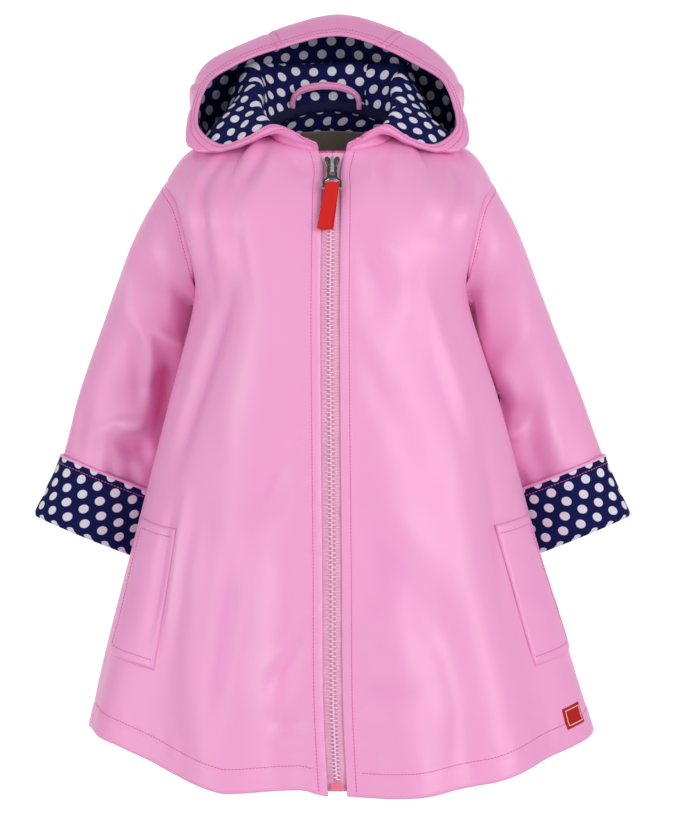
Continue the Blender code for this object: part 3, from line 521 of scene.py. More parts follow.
class Cloth:
    """A piece of cloth as a grid: its outer face, the way out of it and the lengths across and down it.

    A closed piece repeats its first column as its last.
    """

    def __init__(self, columns, rows, points, flip=False, closed=False):
        self.columns, self.rows = np.asarray(columns, float), np.asarray(rows, float)
        self.points, self.flip, self.closed = points, flip, closed
        self.fold = np.zeros(points.shape[:2])
        self.flat = None
        self.measure()

    def measure(self):
        points = self.points
        self.across_way, self.down_way = np.gradient(points, axis=1), np.gradient(points, axis=0)
        if self.closed:
            self.across_way[:, 0] = self.across_way[:, -1] = points[:, 1] - points[:, -2]
        out = np.cross(self.across_way, self.down_way)
        self.out = np.where(length_of(out) > 1e-9, unit(out), 0) * (-1 if self.flip else 1)
        across, down = (length_of(np.diff(points, axis=axis))[..., 0].cumsum(axis) for axis in (1, 0))
        self.u = np.concatenate([np.zeros((len(points), 1)), across], 1)
        self.v = np.concatenate([np.zeros((1, points.shape[1])), down], 0)

    def lifted(self, height):
        """The same piece moved outwards. It keeps its flat lengths, so what is printed moves with it."""
        height = np.broadcast_to(height, self.u.shape)
        points = self.points + self.out * height[..., None]
        moved = Cloth(self.columns, self.rows, points, self.flip, self.closed)
        moved.u, moved.v, moved.fold, moved.flat = self.u, self.v, self.fold + height, self.flat
        return moved

    def from_edge(self, edges):
        """How far each point is from the nearest edge of some: first column, last column, top and bottom."""
        away = {"f": self.u, "l": self.u[:, -1:] - self.u, "t": self.v, "b": self.v[-1:] - self.v}
        return np.min([away[edge] for edge in edges], axis=0)

    def at(self, across, down):
        """Points of the face, and the way out of it, at places on the grid."""
        i = np.interp(down, self.rows, np.arange(len(self.rows)))
        j = np.interp(across, self.columns, np.arange(len(self.columns)))
        i0 = np.minimum(i.astype(int), len(self.rows) - 2)
        j0 = np.minimum(j.astype(int), len(self.columns) - 2)
        a, b = (i - i0)[:, None], (j - j0)[:, None]
        found = []
        for grid in (self.points, self.out):
            upper = grid[i0, j0] * (1 - b) + grid[i0, j0 + 1] * b
            lower = grid[i0 + 1, j0] * (1 - b) + grid[i0 + 1, j0 + 1] * b
            found.append(upper * (1 - a) + lower * a)
        return found[0], found[1] / length_of(found[1])

    def line_down(self, inset, last=False, top=0.0, bottom=0.0):
        """A line down the cloth, inset from its first or last column, which can stop short of its ends."""
        away = self.u[:, -1:] - inset if last else np.full((len(self.rows), 1), inset)
        across = [np.interp(a[0], u, self.columns) for a, u in zip(away, self.u)]
        run = self.v[:, len(self.columns) // 2]
        keep = (run >= top) & (run <= run[-1] - bottom)
        return np.array(across)[keep], self.rows[keep]

    def line_across(self, inset, last=True, left=0.0, right=0.0):
        """A line across the cloth, inset from its last or first row, which can stop short of its ends."""
        down = [np.interp(v[-1] - inset if last else inset, v, self.rows) for v in self.v.T]
        run = self.u[-1 if last else 0]
        keep = (run >= left) & (run <= run[-1] - right)
        return self.columns[keep], np.array(down)[keep]

    def patch(self, columns, rows, drift=(0, 0)):
        """A piece cut from this one, on its face. drift is how far its side edges move on the way down."""
        columns, rows = np.asarray(columns, float), np.asarray(rows, float)
        across, down = np.meshgrid(columns, rows)
        across = across + np.outer(np.linspace(0, 1, len(rows)), np.linspace(*drift, len(columns)))
        points, _ = self.at(across.ravel(), down.ravel())
        return Cloth(columns, rows, points.reshape(len(rows), len(columns), 3), self.flip)

    def mesh(self, name, wall):
        """A closed mesh with a wall and rounded edges. Faces of the inner side use the second material."""
        points, out = self.points, self.out
        high, wide = points.shape[:2]
        wide -= self.closed
        index = np.arange(high * wide).reshape(high, wide)
        around = np.concatenate([index, index[:, :1]], 1) if self.closed else index
        wall = np.broadcast_to(wall, points.shape[:2])[..., None]
        inner = points - out * wall
        quads = quads_of(around)
        away = np.zeros_like(points)
        away[0] -= unit(self.down_way[0])
        away[-1] += unit(self.down_way[-1])
        if self.closed:
            loops = [around[0, :-1], around[-1, :-1][::-1]]
        else:
            away[:, 0] -= unit(self.across_way[:, 0])
            away[:, -1] += unit(self.across_way[:, -1])
            loops = [np.concatenate([index[0, :-1], index[:-1, -1], index[-1, :0:-1], index[:0:-1, 0]])]
        middle = (points + inner) / 2 + unit(away) * wall / 2
        count = high * wide
        flat = [grid[:, :wide].reshape(-1, 3) for grid in (points, inner, middle)]
        flat_cut = np.stack([self.u, self.v], -1) if self.flat is None else self.flat
        uv = flat_cut[:, :wide].reshape(-1, 2)
        fold = self.fold[:, :wide].ravel()
        vertices, uvs, folds = [flat[0], flat[1]], [uv, uv], [fold, fold]
        faces, start = [quads, quads[:, ::-1] + count], 2 * count
        for loop in loops:
            after = np.roll(loop, -1)
            ring = start + np.arange(len(loop))
            ring_after = np.roll(ring, -1)
            faces.append(np.stack([after, loop, ring, ring_after], -1))
            faces.append(np.stack([ring_after, ring, loop + count, after + count], -1))
            vertices.append(flat[2][loop])
            uvs.append(uv[loop])
            folds.append(fold[loop])
            start += len(loop)
        slots = np.concatenate([np.full(len(part), k == 1) for k, part in enumerate(faces)]).astype(int)
        vertices, faces, uvs, folds = (np.concatenate(parts) for parts in (vertices, faces, uvs, folds))
        return mesh_from(name, vertices, faces[:, ::-1] if self.flip else faces, uvs, folds, slots)


def laid_flat(cloth):
    """The same piece with its print as it lies on the flat cut, stretched as little as can be."""
    high, wide = cloth.points.shape[:2]
    index = np.arange(high * wide).reshape(high, wide)
    lengths = np.stack([cloth.u, cloth.v], -1).reshape(-1, 2)
    mesh = mesh_from("Flat cut", cloth.points.reshape(-1, 3), quads_of(index), lengths)
    holder = in_scene("Flat cut", mesh)
    bpy.context.view_layer.objects.active = holder
    bpy.ops.object.mode_set(mode="EDIT")
    bpy.ops.mesh.select_all(action="SELECT")
    bpy.ops.uv.unwrap(method="MINIMUM_STRETCH", margin=0.0)
    bpy.ops.object.mode_set(mode="OBJECT")
    corners, uv = np.empty(len(mesh.loops), int), np.empty(len(mesh.loops) * 2)
    mesh.loops.foreach_get("vertex_index", corners)
    mesh.uv_layers["Cloth"].uv.foreach_get("vector", uv)
    flat = np.zeros((high * wide, 2))
    flat[corners] = uv.reshape(-1, 2)
    bpy.data.objects.remove(holder)
    bpy.data.meshes.remove(mesh)
    flat = flat.reshape(high, wide, 2)
    a, b = flat[1:, 1:] - flat[:-1, :-1], flat[1:, :-1] - flat[:-1, 1:]
    flat_area = np.abs(a[..., 0] * b[..., 1] - a[..., 1] * b[..., 0]).sum() / 2
    a, b = cloth.points[1:, 1:] - cloth.points[:-1, :-1], cloth.points[1:, :-1] - cloth.points[:-1, 1:]
    scale = math.sqrt(length_of(np.cross(a, b)).sum() / 2 / flat_area)
    across = (flat[:, -1] - flat[:, 0]).mean(0)
    turn = math.atan2(across[1], across[0])
    away = np.array([[math.cos(turn), -math.sin(turn)], [math.sin(turn), math.cos(turn)]])
    cloth.flat = flat @ away * scale
    return cloth


def mesh_from(name, vertices, faces, uv=None, fold=None, slots=None):
    """A smooth mesh from arrays, in metres, with its lengths as the UV map Cloth and its lift as Fold."""
    mesh = bpy.data.meshes.new(name)
    mesh.from_pydata((vertices * MM).tolist(), [], faces.tolist())
    corners = np.empty(len(mesh.loops), int)
    mesh.loops.foreach_get("vertex_index", corners)
    if uv is not None:
        mesh.uv_layers.new(name="Cloth").uv.foreach_set("vector", (uv[corners] * MM).ravel())
    if fold is not None:
        mesh.attributes.new("Fold", "FLOAT", "POINT").data.foreach_set("value", fold)
    if slots is not None:
        mesh.polygons.foreach_set("material_index", slots)
    mesh.shade_smooth()
    mesh.validate()
    return mesh


def in_scene(name, data):
    """A new object with its data, in the scene."""
    made = bpy.data.objects.new(name, data)
    bpy.context.scene.collection.objects.link(made)
    return made


def add_piece(name, mesh, materials, nodes=(), body="coat"):
    """Puts a piece in the scene, on its body, in place of the frame's nodes that it dresses."""
    for material in materials:
        mesh.materials.append(material)
    piece = in_scene(name, mesh)
    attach(piece, body)
    if nodes:
        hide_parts(*nodes)
    return piece


def dress(name, cloth, wall, finishes, nodes=(), body="coat"):
    """Puts a cloth in the scene. A single finish is used on both of its sides."""
    return add_piece(name, cloth.mesh(name, wall), (finishes * 2)[:2], nodes, body)


# Creases and unevenness

Crease = namedtuple("Crease", "u0 v0 u1 v1 width height bow sharp", defaults=(0, 1))


def creases(*rows):
    """A group of creases from rows of numbers."""
    return table(Crease, *rows)


def creased(u, v, group):
    """How far a group of creases lifts the cloth.

    Each runs from (u0, v0) to (u1, v1) and fades out at its ends. sharp is how wide its right side is, seen
    along it, beside its left.
    """
    lift = np.zeros_like(u)
    for crease in group:
        along = np.array([crease.u1 - crease.u0, crease.v1 - crease.v0], float)
        run = np.linalg.norm(along)
        along /= run
        share = ((u - crease.u0) * along[0] + (v - crease.v0) * along[1]) / run
        aside = (v - crease.v0) * along[0] - (u - crease.u0) * along[1]
        aside = aside - crease.bow * (1 - (2 * share - 1) ** 2)
        ends = smooth_step(-0.05, 0.35, share) * smooth_step(1.05, 0.6, share)
        width = crease.width * np.where(aside > 0, crease.sharp, 1.0)
        lift += crease.height * np.exp(-((aside / width) ** 2)) * ends
    return lift


def uneven(u, v, seed, height=0.16, shortest=16, longest=75):
    """The soft unevenness of handled cloth, from waves in many directions."""
    draw = np.random.default_rng(seed)
    lift = np.zeros_like(u)
    for _ in range(12):
        length = draw.uniform(shortest, longest)
        turn, phase = draw.uniform(0, math.pi), draw.uniform(0, math.tau)
        wave = math.tau * (u * math.cos(turn) + v * math.sin(turn)) / length + phase
        lift += height * (length / longest) ** 0.7 * np.sin(wave + 0.8 * np.sin(wave * 0.37 + phase))
    return lift


def pucker(along, away, reach=5.0, height=0.28, pitch=7.0, seed=0):
    """Small ripples that a line of stitching draws in the cloth beside it."""
    slower = np.sin(math.tau * along / (pitch * 1.63) + 2 * seed)
    return height * (np.sin(math.tau * along / pitch + seed) + 0.7 * slower) * np.exp(-((away / reach) ** 2))


def dent(away, depth=0.45, reach=1.1):
    """The line that stitching presses into the cloth."""
    return -depth * np.exp(-((away / reach) ** 2))


def rolled(away, depth=0.8, reach=1.5):
    """Cloth that turns in to a seam at its edge."""
    return dent(away, depth, reach)


# Threads and teeth. A stitch takes its direction from the cloth at STITCH_AIM on both sides of its middle, and
# its length is a share of the pitch.

STITCH_AIM = 0.6
STITCH_RISE = 0.1
STITCH_SHARE = 0.8


@lru_cache(None)
def bead(rings, segments, square):
    """A rounded lump of unit half sizes, long along X. square is 1 for round and less for blocky."""

    def power(value):
        return np.sign(value) * np.abs(value) ** square

    points = [(1.0, 0.0, 0.0)]
    for angle in np.linspace(0, math.pi, rings + 2)[1:-1]:
        for turn in np.arange(segments) * math.tau / segments:
            s = power(math.sin(angle))
            points.append((power(math.cos(angle)), s * power(math.cos(turn)), s * power(math.sin(turn))))
    points.append((-1.0, 0.0, 0.0))
    last = len(points) - 1
    faces = []
    for k in range(segments):
        after = (k + 1) % segments
        faces.append((0, 1 + k, 1 + after, 1 + after))
        for ring in range(rings - 1):
            low = 1 + ring * segments
            faces.append((low + k, low + segments + k, low + segments + after, low + after))
        low = 1 + (rings - 1) * segments
        faces.append((low + after, low + k, last, last))
    return np.array(points), faces


def beads(name, centres, along, out, size, shape=(3, 6, 1.0)):
    """Many rounded lumps as one mesh. size is their half length, half width and half height."""
    lump, faces = bead(*shape)
    side = np.cross(out, along)
    side /= length_of(side)
    ways = np.stack([along, side, np.cross(along, side)], 1)
    points = centres[:, None] + np.einsum("vk,nkc->nvc", lump * size, ways)
    mesh = bpy.data.meshes.new(name)
    faces = [tuple(dict.fromkeys(face)) for face in faces]
    starts = range(0, len(centres) * len(lump), len(lump))
    all_faces = [[corner + start for corner in face] for start in starts for face in faces]
    mesh.from_pydata((points.reshape(-1, 3) * MM).tolist(), [], all_faces)
    mesh.shade_smooth()
    return mesh


def stitch_line(cloth, path, pitch):
    """Where the stitches of one row lie: middle, direction and the way out of the cloth for each."""
    points, out = cloth.at(*path)
    run = np.concatenate([[0], length_of(np.diff(points, axis=0))[:, 0].cumsum()])
    places = np.arange(pitch / 2, run[-1], pitch)

    def along_run(values, shift=0.0):
        return np.stack([np.interp(places + shift, run, values[:, k]) for k in range(3)], -1)

    ahead = along_run(points, STITCH_AIM) - along_run(points, -STITCH_AIM)
    outward = along_run(out)
    outward /= length_of(outward)
    return along_run(points) + outward * STITCH_RISE, unit(ahead), outward


def stitches(name, lines, material):
    """Rows of topstitching as one piece of thread."""
    pitch, thick = size_of("stitch_pitch"), size_of("thread_width")
    rows = [stitch_line(cloth, path, pitch) for cloth, path in lines]
    places = (np.concatenate(values) for values in zip(*rows))
    mesh = beads(name, *places, (pitch * STITCH_SHARE / 2, thick / 2, thick / 2))
    return add_piece(name, mesh, [material])


# Finishes


def size_of(name):
    """A length from the panel, in millimetres."""
    return getattr(bpy.context.scene.raincoat_sizes, name) / MM


def colour_of(name, light=(1.0, 1.0, 1.0)):
    """A colour from the panel, with a factor for each of its parts."""
    colour = getattr(bpy.context.scene.raincoat_colours, name)
    return tuple(value * factor for value, factor in zip(colour, light))


def maths(operation, swapped=False):
    """A way to work with a value that adds one Math node."""

    def result(first, *others):
        values = (first, *others)[:: -1 if swapped else 1]
        return first.finish.node("ShaderNodeMath", {"operation": operation}, dict(enumerate(values)))

    return result


class Socket:
    """A value in a finish, which adds its own nodes as it is worked with."""

    __add__ = __radd__ = maths("ADD")
    __sub__, __rsub__ = maths("SUBTRACT"), maths("SUBTRACT", swapped=True)
    __mul__ = __rmul__ = maths("MULTIPLY")
    __truediv__, __rtruediv__ = maths("DIVIDE"), maths("DIVIDE", swapped=True)
    __pow__, __rpow__ = maths("POWER"), maths("POWER", swapped=True)
    sine, part, least = maths("SINE"), maths("FRACT"), maths("MINIMUM")

    def __init__(self, finish, socket):
        self.finish, self.socket = finish, socket

    def between(self, low, high):
        """0 at low and 1 at high, with a soft step between."""
        inputs = {"Value": self, "From Min": low, "From Max": high}
        return self.finish.node("ShaderNodeMapRange", {"interpolation_type": "SMOOTHSTEP"}, inputs)


class Finish:
    """A material whose shader takes its constants when it is made, and its changing values later."""

    def __init__(self, name, colour, roughness, metallic=0.0, **constants):
        self.material = bpy.data.materials.new(name)
        self.material.use_nodes = True
        self.material.diffuse_color = (*colour, 1)
        self.tree = self.material.node_tree
        self.shader = self.tree.nodes["Principled BSDF"]
        self.colour = (*colour, 1)
        self.set(base_color=self.colour, roughness=roughness, metallic=metallic, **constants)

    def set(self, **values):
        """Gives the shader's inputs their values, by names such as base_color."""
        for name, value in values.items():
            self.feed(self.shader.inputs[name.replace("_", " ").title().replace("Ior", "IOR")], value)

    def feed(self, socket, value):
        if isinstance(value, Socket):
            self.tree.links.new(value.socket, socket)
        else:
            socket.default_value = value

    def node(self, kind, settings, inputs, out=0):
        node = self.tree.nodes.new(kind)
        for name, value in settings.items():
            setattr(node, name, value)
        for name, value in inputs.items():
            self.feed(node.inputs[name], value)
        return Socket(self, node.outputs[out])

    def lengths(self):
        """The lengths across and down the cloth, in millimetres."""
        uv = self.node("ShaderNodeUVMap", {"uv_map": "Cloth"}, {})
        return [self.node("ShaderNodeSeparateXYZ", {}, {0: uv}, out=k) * 1000 for k in (0, 1)]

    def place(self):
        return self.node("ShaderNodeTexCoord", {}, {}, out=3)

    def fold(self):
        return self.node("ShaderNodeAttribute", {"attribute_name": "Fold"}, {}, out=2)

    def noise(self, scale, detail=2.0, roughness=0.5):
        inputs = {"Vector": self.place(), "Scale": scale, "Detail": detail, "Roughness": roughness}
        return self.node("ShaderNodeTexNoise", {}, inputs)

    def mix(self, share, first, second):
        return self.node("ShaderNodeMix", {"data_type": "RGBA"}, {0: share, 6: first, 7: second}, out=2)

    def bump(self, height, distance, strength=1.0):
        inputs = {"Height": height, "Distance": distance, "Strength": strength}
        self.set(normal=self.node("ShaderNodeBump", {}, inputs))


def tone(colour, light):
    """A colour made lighter or deeper, with its alpha."""
    return (*(min(1.0, value * light) for value in colour[:3]), 1)


def weave(finish, pitch):
    """A plain weave's height, from -1 to 1, on threads pitch millimetres apart."""
    across, down = finish.lengths()
    return (across * (math.tau / pitch)).sine() * (down * (math.tau / pitch)).sine()


# Painted shade of the coated cloth in its folds, deeper where a fold is deeper: the depths where each starts
# and is full, its share and its factors
PAINTED_FOLD_SHADE = ((0.6, 4.5, 0.55, (0.90, 0.72, 0.92)), (3.6, 8.5, 0.85, (0.90, 0.40, 0.60)))
# Painted highlight on the ridges: the share of the colour's distance from white that is kept
PAINTED_RIDGE_HIGHLIGHT = 0.72


@lru_cache(None)
def coated_cloth(name="Coated cloth", light=(1.0, 1.0, 1.0)):
    """Coated rainwear cloth: a soft sheen, a fine grain, painted shade down in its folds and a painted
    highlight on its ridges.
    """
    finish = Finish(name, colour_of("cloth", light), 0.4, coat_roughness=0.4, specular_ior_level=0.68)
    patches = finish.noise(7.0, 3.0)
    valley = 0 - finish.fold()
    colour = finish.mix(patches.between(0.35, 0.75) * 0.28, finish.colour, tone(finish.colour, 1.06))
    # Painted shade: the deeper the cloth lies in a fold, the darker and deeper its colour
    for low, high, most, factors in PAINTED_FOLD_SHADE:
        shade = [value * factor for value, factor in zip(finish.colour, factors)]
        colour = finish.mix(valley.between(low, high) * most, colour, (*shade, 1))
    # Painted highlight: the cloth is paler where creases raise it into ridges
    pale = [1 - (1 - value) * PAINTED_RIDGE_HIGHLIGHT for value in finish.colour[:3]]
    colour = finish.mix(finish.fold().between(0.8, 4.5) * 0.5, colour, (*pale, 1))
    grain = finish.noise(2600.0, 1.0)
    finish.set(base_color=colour, roughness=0.36 + patches * 0.12 + grain * 0.06, coat_weight=0.18)
    finish.bump(weave(finish, 0.55) * 0.35 + grain + finish.noise(420.0, 2.0) * 1.6, 0.00005, 0.5)
    return finish.material


@lru_cache(None)
def dotted_lining():
    """Navy cotton printed with staggered white dots, and a plain weave that shows in both."""
    finish = Finish("Dotted lining", colour_of("lining"), 0.85, specular_ior_level=0.12)
    across, down = finish.lengths()
    pitch, rows, radius = size_of("dot_pitch"), size_of("dot_rows"), size_of("dot_size") / 2
    nearest = None
    for shift in (0.0, 0.5):
        a = ((across / pitch + shift).part() - 0.5) * pitch
        b = ((down / (2 * rows) + shift).part() - 0.5) * (2 * rows)
        away = (a * a + b * b) ** 0.5
        nearest = away if nearest is None else nearest.least(away)
    wobble = finish.noise(900.0, 1.0) * 0.35
    dots = (nearest + wobble).between(radius + 0.32, radius + 0.02)
    threads = weave(finish, 0.7)
    navy = finish.mix(finish.noise(60.0, 2.0), finish.colour, tone(finish.colour, 1.5))
    dot = finish.mix(finish.noise(300.0, 1.0), tone(colour_of("dot"), 1.0), tone(colour_of("dot"), 0.86))
    finish.set(base_color=finish.mix(dots, navy, dot), roughness=0.8 - dots * 0.1)
    finish.bump(threads * 0.6 + finish.noise(1500.0, 1.0) + dots * 0.4, 0.00006, 0.6)
    return finish.material


@lru_cache(None)
def thread(name="Topstitch thread", light=1.0):
    """Twisted sewing thread."""
    finish = Finish(name, colour_of("thread", [light] * 3), 0.55, sheen_weight=0.2)
    finish.bump(finish.noise(5000.0, 1.0), 0.00005, 0.5)
    finish.set(base_color=finish.mix(finish.noise(900.0, 1.0), finish.colour, tone(finish.colour, 0.82)))
    return finish.material


@lru_cache(None)
def woven(name, colour, pitch, roughness=0.7, ribs=0.0):
    """Narrow woven goods: tape, ribbon and label. ribs is the pitch of cross ribs, or 0 for a plain weave."""
    finish = Finish(name, colour, roughness, specular_ior_level=0.25)
    height = weave(finish, pitch)
    if ribs:
        _, down = finish.lengths()
        height = height * 0.4 + (down * (math.tau / ribs)).sine()
    # Painted shade: the weave is darker where its threads and ribs lie low
    colour = finish.mix(height.between(-1.0, 0.8), tone(finish.colour, 0.74), finish.colour)
    finish.set(base_color=colour)
    finish.bump(height + finish.noise(1800.0, 1.0), 0.00008, 0.8)
    return finish.material


@lru_cache(None)
def moulded(name, colour, roughness=0.32):
    """Moulded zip plastic with a faint unevenness."""
    finish = Finish(name, colour, roughness, coat_roughness=0.2)
    speckle = finish.noise(700.0, 2.0)
    finish.set(roughness=roughness - 0.06 + speckle * 0.16, coat_weight=0.15)
    finish.bump(speckle, 0.00004, 0.4)
    return finish.material


@lru_cache(None)
def plated_metal(name="Plated metal", light=0.6):
    """Plated zinc, dark at the default light, and rubbed brighter at random in places. light makes darker and
    lighter copies of it: painted reflection.
    """
    finish = Finish(name, colour_of("metal", [light] * 3), 0.25, metallic=1.0)
    rubbed = finish.noise(260.0, 3.0).between(0.35, 0.75)
    finish.set(roughness=0.17 + rubbed * 0.2)
    finish.set(base_color=finish.mix(rubbed, tone(finish.colour, 0.75), tone(finish.colour, 1.25)))
    finish.bump(finish.noise(900.0, 2.0), 0.00003, 0.5)
    return finish.material


# Pieces of cloth

SIDES = ((LEFT, "left"), (RIGHT, "right"))

# How fine the grids are: columns of a body panel and of half a sleeve, and the steps between rows and turns
BODY_COLUMNS, BODY_STEP = 70, 3.0
HALF_SLEEVE, SLEEVE_STEP = 55, 2.6
CUFF_STEP = 2.4
HOOD_TURN_STEP, HOOD_ROW_STEP = 0.0085, 0.0125

# How far stitching lies from its edge or seam
STITCH_FROM_ZIP = 6.3
HEM_STITCH = 17.0
ARMHOLE_STITCH = 4.6
CUFF_STITCH = 5.2
RIM_STITCHES = (2.3, 7.6)
HOOD_SEAM_STITCH = 4.5
LABEL_STITCH = 1.6
LOOP_STITCH = 1.1
WELT_STITCH = 6.4

# Walls, and how far trim stands off the cloth that carries it
CUFF_THICK, CUFF_RAISE = 1.1, 2.2
EDGING_THICK, EDGING_RAISE = 1.3, 0.35
WELT_THICK, WELT_RAISE = 1.5, 1.9
LABEL_THICK = 0.7
HEM_LABEL_THICK, HEM_LABEL_RAISE = 0.9, 1.1
LOOP_THICK = 1.2
TAPE_THICK = 0.6
LINING_DEPTH = SHELL + SEAM_GAP
RIM_LIP = 3.0
SEAM_CLOSED = 0.5

# Cloth folded under at the zip's edge and the hem lifts what lies on it
FOLDED_EDGE, FOLDED_HEM = 0.5, 0.45

# Where the random draws of each kind of piece start
SEEDS = dict(front=11, back=17, sleeve=23, cuff=31, hood=41, lining=51, facing=61, label=62, welt=71)

# The sleeve's tuck beside the body, its allowance under the armhole's edge, and the height in metres above
# which both sides of its wall are outer cloth
UNDERARM_TUCK, TUCK_DOWN, TUCK_REACH = 8.0, 14, 13
SLEEVE_ALLOWANCE, UNDERARM_ALLOWANCE = 1.3, 2.4
UNDERARM_FACED = -0.14

# The turn at which the hood's lining starts, the row where it ends and the rows between which it can move in
LINING_FIRST = 0.17
LINING_END = 0.985
FREE_ROWS = (0.04, 0.95)

# Creases of the fronts, in lengths from the zip's edge and down the cloth
FRONT_CREASES = {
    RIGHT: creases(
        (48, 0, 66, 86, 5, -2.8, 2.4), (38, 0, 50, 70, 5, 1.6, 1.8), (62, 4, 76, 60, 5, 1.4, 1.8),
        (28, 0, 15, 28, 4, -1.9, 0.6), (90, 30, 86, 190, 7, -3.0, -1, 0.7),
        (102, 30, 98, 150, 7, 1.9, -2.4), (68, 60, 60, 160, 9, -2.2, -1.8),
        (54, 50, 42, 170, 10, 1.6, -1.2), (60, 140, 128, 310, 12, -3.9, 3.6, 0.6),
        (40, 130, 80, 300, 12, 2.7, 3), (84, 150, 140, 290, 9, 1.9, 3), (8, 212, 26, 238, 5, -1.7, 1.2),
        (22, 232, 64, 316, 8, -2.3, 2.4, 0.6), (8, 236, 46, 316, 8, 1.6, 2.4),
        (4, 180, 24, 204, 5, -1.1, 1.2), (108, 300, 130, 440, 6, 2.7, 1.8),
        (120, 310, 142, 430, 6, -2.3, 1.8), (41, 270, 58, 480, 12, 3.1, 1.8),
        (60, 310, 88, 484, 10, -3.4, 2.4, 0.7), (96, 330, 112, 484, 10, 1.7, 1.8),
        (6, 352, 46, 418, 6, -2.2, 2.4), (14, 350, 52, 404, 6, 1.4, 2.4), (6, 386, 34, 424, 5, 1.1, 1.8),
        (6, 424, 44, 434, 6, -1.9, 1.2), (8, 438, 40, 446, 6, 1.2, 1.2),
    ),
    LEFT: creases(
        (27, 0, 33, 48, 4, -2.2, -2), (19, 0, 22, 40, 5, 1.2, -2), (38, 0, 44, 44, 5, 1.2, -2),
        (50, 0, 62, 36, 5, -1.2, -2), (103, 30, 80, 130, 8, -2.6, 3, 0.7), (112, 30, 96, 120, 6, 1.3, 3),
        (72, 30, 66, 120, 10, 1.2, 3), (2, 64, 44, 162, 9, -2.5, -3, 1.6),
        (40, 150, 94, 296, 12, -2.8, -4, 1.6), (14, 60, 58, 156, 8, 1.7, -3),
        (56, 146, 108, 280, 10, 1.8, -4), (6, 150, 60, 274, 9, -1.6, -4), (4, 130, 40, 196, 7, 0.9, -3),
        (6, 262, 86, 436, 12, -2.9, -5, 1.6), (22, 252, 106, 420, 12, 2.1, -5),
        (5, 334, 30, 360, 5, -1.6, -2), (5, 354, 34, 384, 5, 1.1, -2), (6, 402, 56, 420, 7, -2.0, -3),
        (8, 418, 46, 440, 7, 1.2, -3), (8, 436, 36, 474, 7, -1.2, -2), (62, 380, 80, 478, 11, 2.1, -2),
        (114, 250, 128, 420, 8, -1.8, -2),
    ),
}

# Creases of the back, in lengths from its middle
BACK_CREASES = creases(
    (-30, 30, -48, 190, 10, -2.2, 4), (34, 34, 46, 200, 10, -2.2, -4), (-88, 40, -104, 200, 7, -2.4, 5),
    (88, 40, 104, 190, 7, -2.2, -5), (-62, 120, -86, 380, 13, 2.0, 6), (60, 130, 84, 390, 13, 2.0, -6),
    (-8, 90, -20, 320, 12, 1.8, 4), (14, 200, 24, 440, 12, -1.8, 0), (-100, 250, -122, 440, 10, -1.6, 0),
)

# Creases of the sleeves, in lengths round from the outer edge, with the front positive, and down
SLEEVE_CREASES = {
    RIGHT: creases(
        (84, 16, 94, 80, 11, -2.4, 3), (62, 14, 74, 72, 8, 2.0, 3), (14, 46, 58, 120, 9, 2.6, 4),
        (32, 80, 62, 146, 7, -2.6, -3), (98, 70, 56, 88, 4, 3.6, 2, 1.5),
        (56, 82, 68, 150, 4, 4.0, -5, 1.8), (78, 80, 84, 158, 10, -8.5, -3, 1.3),
        (98, 88, 104, 150, 8, -4.0, 0), (76, 142, 46, 172, 4, 3.4, -3), (84, 158, 50, 186, 6, -6.0, -3),
        (72, 180, 66, 218, 7, -3.6, 0), (44, 182, 46, 226, 5, 1.8, 0), (53, 194, 54, 229, 4, -2.4, 0),
        (84, 196, 82, 229, 5, 2.2, 0), (20, 170, 24, 226, 7, -1.8, 2), (-30, 40, -70, 120, 10, -3.0, 6),
        (-24, 110, -96, 140, 8, -4.6, 6), (-30, 134, -90, 160, 8, 3.0, 6),
        (-20, 170, -90, 190, 8, -3.6, -6),
    ),
    LEFT: creases(
        (86, 4, 82, 66, 9, -2.6, 4), (68, 10, 72, 84, 7, 2.0, 4), (24, 20, 50, 120, 12, 1.8, 5),
        (94, 84, 78, 150, 9, -5.4, 4, 0.8), (74, 96, 62, 140, 6, 2.4, 4), (82, 140, 60, 158, 5, 3.0, -3),
        (64, 150, 58, 218, 9, -3.2, -3), (45, 146, 42, 222, 8, 2.4, -3), (86, 164, 80, 222, 7, -3.4, 3),
        (22, 120, 24, 222, 9, -1.6, 3), (-30, 36, -72, 110, 10, -3.0, 6), (-26, 104, -94, 134, 8, -4.2, 6),
        (-20, 166, -90, 190, 8, -3.4, -6),
    ),
}

# Creases of the hood's outer cloth, in lengths round from the zip and up from the neck seam
HOOD_CREASES = creases(
    (30, 50, 80, 62, 6, 1.6, 3), (60, 78, 130, 92, 6, -2.6, 5), (90, 110, 190, 128, 7, -3.4, 8),
    (110, 140, 210, 150, 7, 2.8, 8), (150, 90, 240, 96, 8, -3.0, 8), (120, 100, 170, 60, 7, 2.4, 5),
)

# Creases of the hood's lining, which stand into the hollow, in lengths round from its first turn and up
LINING_CREASES = {
    LEFT: creases(
        (40, 20, 60, 70, 6, 1.3, 3), (66, 10, 84, 74, 7, 1.5, -4), (92, 14, 96, 86, 6, 1.7, 4),
        (112, 20, 128, 90, 7, 1.5, 3), (138, 30, 150, 96, 6, 1.4, -3), (80, 84, 180, 100, 7, 1.3, 6),
    ),
    RIGHT: creases(
        (44, 18, 56, 72, 6, 1.4, -3), (70, 14, 80, 80, 6, 1.4, 4), (90, 16, 104, 80, 7, 1.6, -4),
        (118, 22, 122, 92, 6, 1.6, 3), (142, 30, 146, 96, 7, 1.2, 4), (90, 90, 190, 96, 7, 1.2, 5),
    ),
}


def body_rows():
    """Rows of the body, which start a little higher than the frame's so that the neck seam closes."""
    return finer((-SEAM_CLOSED, *BODY_ROWS[1:]), BODY_STEP)


